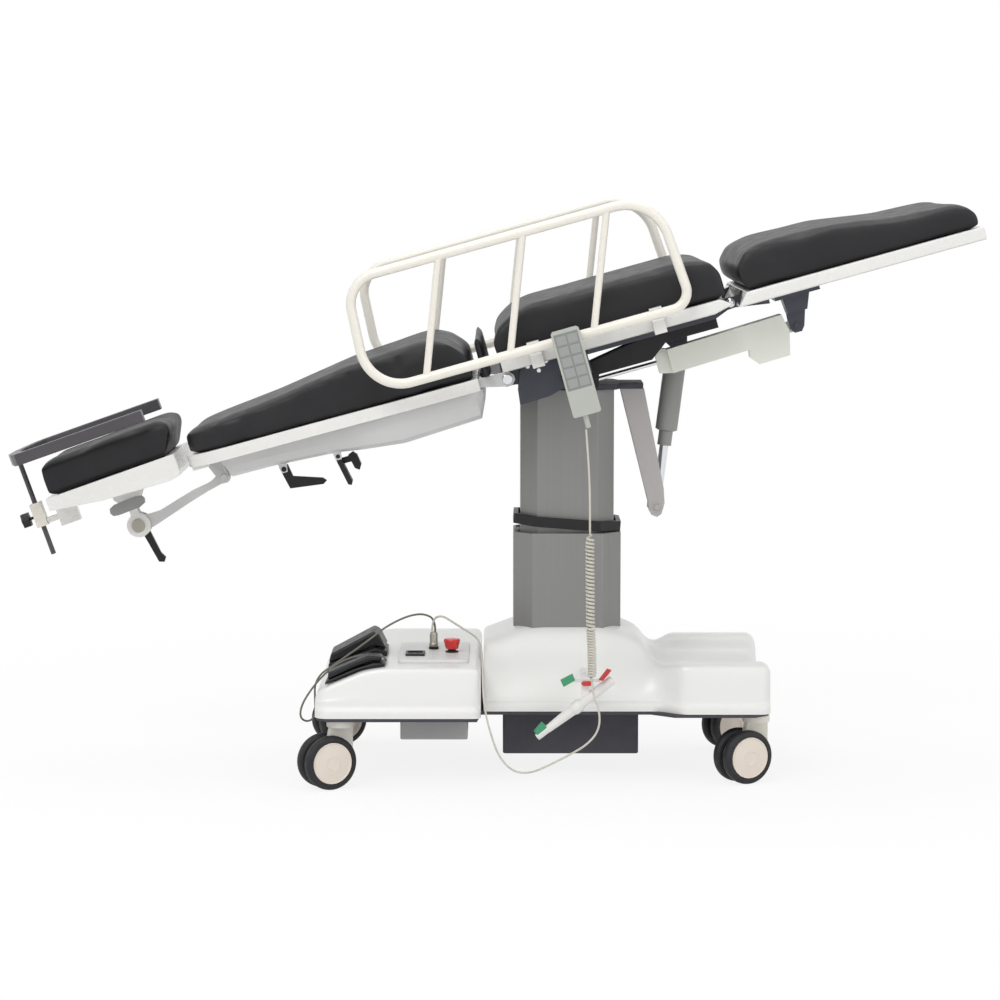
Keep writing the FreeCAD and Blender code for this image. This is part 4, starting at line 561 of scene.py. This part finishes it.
def cover_shell(node, stations, section):
    """Loft mirrored half sections at the stations into one closed body in place of the node."""
    bm = bmesh.new()
    rings = []
    for x in stations:
        half = smooth_line(section(x), 64)
        line = [(-y, z) for y, z in reversed(half)] + [(y, z) for y, z in half[1:]]
        rings.append([bm.verts.new(Vector((x, y, max(z, COVER_LOW))) / 1000) for y, z in line])
    for first, second in zip(rings, rings[1:]):
        for index in range(len(first) - 1):
            bm.faces.new((first[index], first[index + 1], second[index + 1], second[index]))
        bm.faces.new((first[-1], first[0], second[0], second[-1]))
    bm.faces.new(rings[0])
    bm.faces.new(rings[-1])
    bmesh.ops.recalc_face_normals(bm, faces=bm.faces)
    for face in bm.faces:
        face.smooth = True
    name = node + "_shell"
    mesh = bpy.data.meshes.new(name)
    bm.to_mesh(mesh)
    bm.free()
    mesh.materials.append(M["white_cover"])
    mesh.set_sharp_from_angle(angle=math.radians(50))
    obj = link(name, mesh)
    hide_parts(node)
    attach(obj, BODY_OF[node])


def corner_inset(x, left, right, radius):
    """How far a plan or top outline draws in near the ends of a cover."""
    reach = max(left + radius - x, x - (right - radius), 0)
    return radius - math.sqrt(max(radius * radius - reach * reach, 0))


def ends(left, right, radius):
    """Stations from left to right, closer together where the ends are rounded."""
    turns = 9
    spans = 70
    bend = [radius * (1 - math.cos(math.pi / 2 * step / turns)) for step in range(turns)]
    straight = right - left - 2 * radius
    inside = [left + radius + straight * step / spans for step in range(spans + 1)]
    return [left + reach for reach in bend] + inside + [right - reach for reach in reversed(bend)]


def make_left_cover():
    """Wide cover: a low ramp at its left, rounded in plan there, and a level top for the panel."""
    left, right, radius = -493, -171, 14
    plan_radius = 26
    half_width = 271
    profile = [(-493, 184), (-471, 201), (-397, 232), (-358, 238), (-160, 238)]

    def section(x):
        inset = corner_inset(x, left, right, radius)
        reach = max(left + plan_radius - x, 0)
        plan = plan_radius - math.sqrt(max(plan_radius ** 2 - reach ** 2, 0))
        wide = half_width - max(inset, plan)
        top = along_profile(profile, x) - inset
        flange = [(wide + out, COVER_LOW + up) for out, up in FLANGE]
        wall_low = COVER_LOW + FLANGE[0][1]
        room = min(1.0, (top - wall_low) / 40)
        wall = [(wide - 7, top - room), (wide - 4, top - 10 * room), (wide - 3, top - 30 * room),
                (wide, wall_low + 9 * room)]
        return [(0, top), (80, top), (190, top), (wide - 40, top), (wide - 16, top)] + wall + flange

    cover_shell("left_cover", ends(left, right, radius), section)


def make_main_cover():
    """Waisted cover: an arch round the column that runs out into a trough between two humps."""
    left, right, radius = -166, 395, 20
    seam_radius = 7
    crown = 297
    shoulder = 160
    profile = [(-180, 264), (-160, 270), (-104, 292), (-52, crown), (52, crown), (104, 292), (158, 268),
               (190, 232), (215, 200), (400, 198)]

    def section(x):
        inset = corner_inset(x, left, right, radius if x > 0 else seam_radius)
        share = ease(x, 132, 226)
        wide = 188 + 36 * ease(x, 172, 234) - inset
        top = along_profile(profile, x) - inset
        fall = (crown - top) / (crown - shoulder)
        arch = [(0, crown), (60, crown), (96, 296), (112, 280), (130, 248), (152, 222), (172, 196)]
        arch = [(y, z - fall * max(0, z - shoulder)) for y, z in arch]
        hump = 238 - inset
        tail = [(0, 198 - inset), (84, 198 - inset), (138, 200 - inset), (158, hump), (196, hump + 1),
                (wide - 3, hump - 2), (wide - 1, hump - 24)]
        top_line = [Vector(a).lerp(Vector(b), share) for a, b in zip(arch, tail)]
        flange = [(wide + out, COVER_LOW + up) for out, up in FLANGE]
        return top_line + flange

    cover_shell("main_cover", ends(left, right, radius), section)


make_left_cover()
make_main_cover()


def lathe(name, profile, place, axis, materials, sides=64):
    """A turned piece: profile rows are (along the axis, radius, material number from here on)."""
    bm = bmesh.new()
    axis = axis.normalized()
    side = Vector((0, 0, 1))
    up = axis.cross(side)
    rings = []
    for along, radius, _ in profile:
        ring = []
        for step in range(sides):
            angle = 2 * math.pi * step / sides
            ring.append(bm.verts.new(place + axis * along + radius * (math.cos(angle) * side
                                                                      + math.sin(angle) * up)))
        rings.append(ring)
    for index, (first, second) in enumerate(zip(rings, rings[1:])):
        for step in range(sides):
            follow = (step + 1) % sides
            face = bm.faces.new((first[step], first[follow], second[follow], second[step]))
            face.material_index = profile[index][2]
            face.smooth = True
    for ring, number in ((rings[0], profile[0][2]), (rings[-1], profile[-1][2])):
        bm.faces.new(ring).material_index = number
    bmesh.ops.recalc_face_normals(bm, faces=bm.faces)
    mesh = bpy.data.meshes.new(name)
    bm.to_mesh(mesh)
    bm.free()
    for material in materials:
        mesh.materials.append(material)
    mesh.set_sharp_from_angle(angle=math.radians(38))
    return link(name, mesh)


# Casters: swivels as (x, y) in metres, with the wheels trailing in one direction behind them
CASTERS = {"near_left": (-0.444, -0.236), "far_left": (-0.444, 0.236),
           "near_right": (0.369, -0.178), "far_right": (0.369, 0.178)}
CASTER_TURN = math.radians(208)
CASTER_TRAIL = 0.030
WHEEL_RADIUS = 0.053
WHEEL_HALF = 0.0105
WHEEL_MIDDLE = 0.0175


def wheel_profile():
    """Rows for lathe: the inner face of the disc, the tyre (0), then the outer face of the disc (1)."""
    half = WHEEL_HALF
    face = half + 0.0008
    return [(-half, 0.0062, 1), (-half, 0.038, 1), (-half, 0.0405, 0), (-half, 0.0465, 0),
            (-half + 0.0012, 0.0500, 0), (-half + 0.0042, 0.0524, 0), (-0.003, WHEEL_RADIUS, 0),
            (0.003, WHEEL_RADIUS, 0), (half - 0.0042, 0.0524, 0), (half - 0.0012, 0.0500, 0),
            (half, 0.0465, 0), (half, 0.0418, 0), (half - 0.0016, 0.0412, 0),
            (half - 0.0016, 0.0404, 1), (face, 0.0400, 1), (face, 0.0382, 1), (face - 0.0014, 0.0372, 1),
            (face - 0.0010, 0.020, 1), (face, 0.0135, 1), (face, 0.0128, 1), (face - 0.0012, 0.0120, 1),
            (face - 0.0012, 0.0062, 1)]


def make_wheels(corner):
    """Both wheels of a caster: a rounded black tyre round a cream disc with a raised rim."""
    x, y = CASTERS[corner]
    forward = Vector((math.cos(CASTER_TURN), math.sin(CASTER_TURN), 0))
    middle = Vector((x, y, WHEEL_RADIUS)) + CASTER_TRAIL * forward
    axis = Vector((-forward.y, forward.x, 0))
    for side in (-1, 1):
        out = axis * side
        wheel = lathe("%s_wheel_%d" % (corner, side + 1), wheel_profile(), middle + out * WHEEL_MIDDLE, out,
                      (M["tyre_rubber"], M["hub_plastic"]))
        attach(wheel, corner + "_wheels")
        if side == -1:
            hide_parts(corner + "_wheels")


for corner in CASTERS:
    make_wheels(corner)


# Small pieces on the carried-over forms


def plate_on_bed(name, corners, y, thick, material, body, bevel=0.0006):
    """A flat piece on a plane of constant y: corners are bed places (x, z) in millimetres."""
    bm = bmesh.new()
    front = [bm.verts.new(in_bed(px, y, pz)) for px, pz in corners]
    back = [bm.verts.new(in_bed(px, y + thick, pz)) for px, pz in corners]
    bm.faces.new(front)
    bm.faces.new(list(reversed(back)))
    for index in range(len(corners)):
        follow = (index + 1) % len(corners)
        bm.faces.new((front[follow], front[index], back[index], back[follow]))
    bmesh.ops.recalc_face_normals(bm, faces=bm.faces)
    mesh = bpy.data.meshes.new(name)
    bm.to_mesh(mesh)
    bm.free()
    mesh.materials.append(material)
    obj = link(name, mesh)
    soften(obj, bevel)
    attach(obj, body)


def make_keypad():
    """Film keypad on the hand control: two columns of five flat keys in a frame."""
    front = 1000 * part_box("hand_control")[0][1]
    body = BODY_OF["hand_control"]
    wide, high = 19, 17
    film = [(-9, -18), (38, -18), (38, 92), (-9, 92)]
    plate_on_bed("keypad_film", film, front - 0.5, 1.2, M["key_film"], body)
    for row in range(5):
        for column in range(2):
            x = -6 + 22 * column
            z = -14 + 21 * row
            key = [(x, z), (x + wide, z), (x + wide, z + high), (x, z + high)]
            plate_on_bed("key_%d_%d" % (row, column), key, front - 1.1, 1.4, M["key_grey"], body, 0.0004)


def make_screws():
    """Three bright cap screws on the near cheek plate."""
    profile = [(-0.002, 0.0044, 0), (0.0026, 0.0044, 0), (0.0034, 0.0036, 0), (0.0034, 0.002, 0),
               (0.0016, 0.0018, 0)]
    toward = Vector((0, -1, 0))
    for index, (x, z) in enumerate(((-72, 40), (-35, 41), (-53, 27))):
        place = in_bed(x, -185, z)
        screw = lathe("cheek_screw_%d" % index, profile, place, toward, (M["steel_chrome"],), 20)
        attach(screw, BODY_OF["cheek_plates"])


make_keypad()
make_screws()


# Cushions

CLOTH_STEPS = 20


def swell(obj, pressure, cap):
    """Blow a closed pad up a little as cloth, and hold every point within the cap."""
    start = [vertex.co.copy() for vertex in obj.data.vertices]
    cloth = obj.modifiers.new("cloth", "CLOTH")
    settings = cloth.settings
    settings.quality = 5
    settings.mass = 0.3
    settings.use_pressure = True
    settings.uniform_pressure_force = pressure
    settings.tension_stiffness = 15
    settings.compression_stiffness = 15
    settings.shear_stiffness = 5
    settings.bending_stiffness = 0.5
    settings.effector_weights.gravity = 0
    scene = bpy.context.scene
    for step in range(CLOTH_STEPS):
        scene.frame_set(step + 1)
    bake(obj)
    scene.frame_set(1)
    for vertex, first in zip(obj.data.vertices, start):
        move = vertex.co - first
        if move.length > cap:
            vertex.co = first + move * (cap / move.length)


def cushion(node, cap, pressure=4.0, shrink=0.0035, voxel=0.006):
    """A pad in the place of its plain solid: remeshed, blown up and smoothed."""
    obj = link(node + "_pad", cleaned_mesh(node))
    level = Matrix.Rotation(HEAD_TILT if node == "head_cushion" else BED_TILT, 4, "Y")
    obj.data.transform(level)
    bm = bmesh.new()
    bm.from_mesh(obj.data)
    bmesh.ops.recalc_face_normals(bm, faces=bm.faces)
    bm.to_mesh(obj.data)
    bm.free()
    remesh = obj.modifiers.new("remesh", "REMESH")
    remesh.mode = "VOXEL"
    remesh.voxel_size = voxel
    relax = obj.modifiers.new("relax", "SMOOTH")
    relax.factor = 0.5
    relax.iterations = 6
    bake(obj)
    for vertex, normal in zip(obj.data.vertices, [v.normal.copy() for v in obj.data.vertices]):
        vertex.co -= normal * shrink
    swell(obj, pressure, cap)
    calm = obj.modifiers.new("calm", "SMOOTH")
    calm.factor = 0.5
    calm.iterations = 8
    bake(obj)
    finer = obj.modifiers.new("finer", "SUBSURF")
    finer.levels = finer.render_levels = 1
    bake(obj)
    obj.data.transform(level.inverted())
    obj.data.shade_smooth()
    obj.data.materials.clear()
    obj.data.materials.append(M["black_upholstery"])
    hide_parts(node)
    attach(obj, BODY_OF[node])


for node, cap in (("seat_cushion", 0.007), ("leg_cushion", 0.007), ("back_cushion", 0.007),
                  ("head_cushion", 0.006)):
    cushion(node, cap)
cushion("gap_roll", 0.002, shrink=0.001, voxel=0.003)


# Cords


def route(name, points):
    """The cord's line: one smooth NURBS spline with the route's points as its controls."""
    data = bpy.data.curves.new(name, "CURVE")
    data.dimensions = "3D"
    data.resolution_u = 12
    spline = data.splines.new("NURBS")
    spline.points.add(len(points) - 1)
    for control, point in zip(spline.points, points):
        control.co = (*point, 1)
    spline.order_u = 3
    spline.use_endpoint_u = True
    return link(name, data)


def line_points(curve):
    """Points along a curve that has no bevel yet, in order."""
    graph = bpy.context.evaluated_depsgraph_get()
    mesh = bpy.data.meshes.new_from_object(curve.evaluated_get(graph))
    points = [vertex.co.copy() for vertex in mesh.vertices]
    bpy.data.meshes.remove(mesh)
    return points


def path_length(points):
    """Length of the line through the points."""
    return sum((b - a).length for a, b in zip(points, points[1:]))


def tube(name, points, radius, sides=12):
    """A round tube mesh along points, closed at its ends."""
    bm = bmesh.new()
    rings = []
    side = None
    for index, point in enumerate(points):
        ahead = points[min(index + 1, len(points) - 1)]
        behind = points[max(index - 1, 0)]
        along = (ahead - behind).normalized()
        side = along.orthogonal() if side is None else side - along * side.dot(along)
        side.normalize()
        up = along.cross(side)
        ring = []
        for step in range(sides):
            angle = 2 * math.pi * step / sides
            ring.append(bm.verts.new(point + radius * (math.cos(angle) * side + math.sin(angle) * up)))
        rings.append(ring)
    for first, second in zip(rings, rings[1:]):
        for step in range(sides):
            follow = (step + 1) % sides
            bm.faces.new((first[step], first[follow], second[follow], second[step]))
    bm.faces.new(list(reversed(rings[0])))
    bm.faces.new(rings[-1])
    mesh = bpy.data.meshes.new(name)
    bm.to_mesh(mesh)
    bm.free()
    mesh.shade_smooth()
    return link(name, mesh)


# Routes in millimetres; SIDE is where the lead hangs, out from the near side of the bed
SIDE = -314
LEAD = metres([(30, SIDE, 706), (34, SIDE, 656), (37, SIDE, 604), (38, SIDE, 552), (38, SIDE, 506)])
CURL = metres([(38, SIDE, 506), (38, SIDE, 450), (39, SIDE, 392), (39, SIDE, 334), (43, SIDE, 276),
               (43, SIDE, 222)])
BASE_LEAD = metres([
    (43, SIDE, 222), (43, SIDE, 200), (58, SIDE, 164), (57, SIDE - 1, 126), (34, SIDE - 2, 98),
    (0, SIDE - 1, 78), (-38, SIDE, 58), (-76, SIDE + 2, 41), (-110, SIDE + 6, 44), (-136, SIDE + 12, 72),
    (-150, SIDE + 18, 110), (-161, SIDE + 24, 150), (-166, SIDE + 30, 190), (-167, SIDE + 44, 228),
    (-168, SIDE + 78, 258), (-172, SIDE + 128, 275), (-184, SIDE + 176, 283), (-206, SIDE + 208, 291),
    (-229, SIDE + 229, 303), (-251, SIDE + 243, 314), (-269, SIDE + 250, 304), (-269, SIDE + 250, 279)])
FOOT_CORD = metres([
    (-357, -196, 243), (-357, -172, 245), (-386, -164, 251), (-422, -170, 246), (-456, -174, 231),
    (-484, -177, 207), (-506, -179, 180), (-523, -181, 152), (-527, -180, 129), (-518, -178, 119),
    (-506, -174, 119), (-497, -171, 129), (-497, -168, 147), (-498, -165, 168), (-498, -162, 190),
    (-486, -158, 211), (-462, -156, 226), (-438, -153, 243), (-413, -150, 260), (-388, -144, 278),
    (-363, -128, 296), (-337, -106, 308), (-310, -84, 316), (-284, -67, 316), (-263, -57, 303),
    (-263, -57, 279)])


def plain_cord(node, points, diameter, material):
    """A round cord along its route, with its own curve as the line."""
    curve = route(node + "_line", points)
    length = path_length(line_points(curve))
    curve.data.bevel_depth = diameter / 2
    curve.data.bevel_resolution = 4
    curve.data.use_fill_caps = True
    curve.data.materials.append(material)
    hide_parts(node)
    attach(curve, BODY_OF[node])


def hanging_lead():
    """The straight lead below the hand control, as one fixed tube along its route."""
    curve = route("hand_lead_route", LEAD)
    points = line_points(curve)
    bpy.data.objects.remove(curve)
    obj = tube("hand_lead_line", points, 0.002)
    obj.data.materials.append(M["pale_cable"])
    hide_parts("hand_lead")
    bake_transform(obj)


def curly_cord():
    """The coiled part of the lead: loosely wound, but for its lower third, and straight at both ends."""
    curve = route("curl_route", CURL)
    line = line_points(curve)
    bpy.data.objects.remove(curve)
    total = path_length(line)
    wire = 0.0024
    radius = 0.009 - wire
    loose, tight = 0.0072, 0.0052
    loose_share = 0.66
    run_in = 0.012
    step_length = 0.00055
    points = []
    angle = 0.0
    walked = 0.0
    for first, second in zip(line, line[1:]):
        along = second - first
        steps = max(1, round(along.length / step_length))
        for step in range(steps):
            share = step / steps
            place = first + along * share
            at = walked + along.length * share
            pitch = loose if at < loose_share * total else tight
            wound = min(1.0, at / run_in, (total - at) / run_in)
            angle += 2 * math.pi * wound * (along.length / steps) / pitch
            spot = place + radius * wound * Vector((math.cos(angle), math.sin(angle), 0))
            if not points or (spot - points[-1]).length > 0.0004:
                points.append(spot)
        walked += along.length
    while (points[-1] - line[-1]).length < 0.001:
        points.pop()
    points.append(line[-1])
    obj = tube("curly_cord_line", points, wire, 8)
    obj.data.materials.append(M["pale_cable"])
    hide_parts("curly_cord")
    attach(obj, "base")
    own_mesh(obj)


hanging_lead()
curly_cord()
plain_cord("base_lead", BASE_LEAD, 0.004, M["pale_cable"])
plain_cord("foot_cord", FOOT_CORD, 0.004, M["grey_cable"])
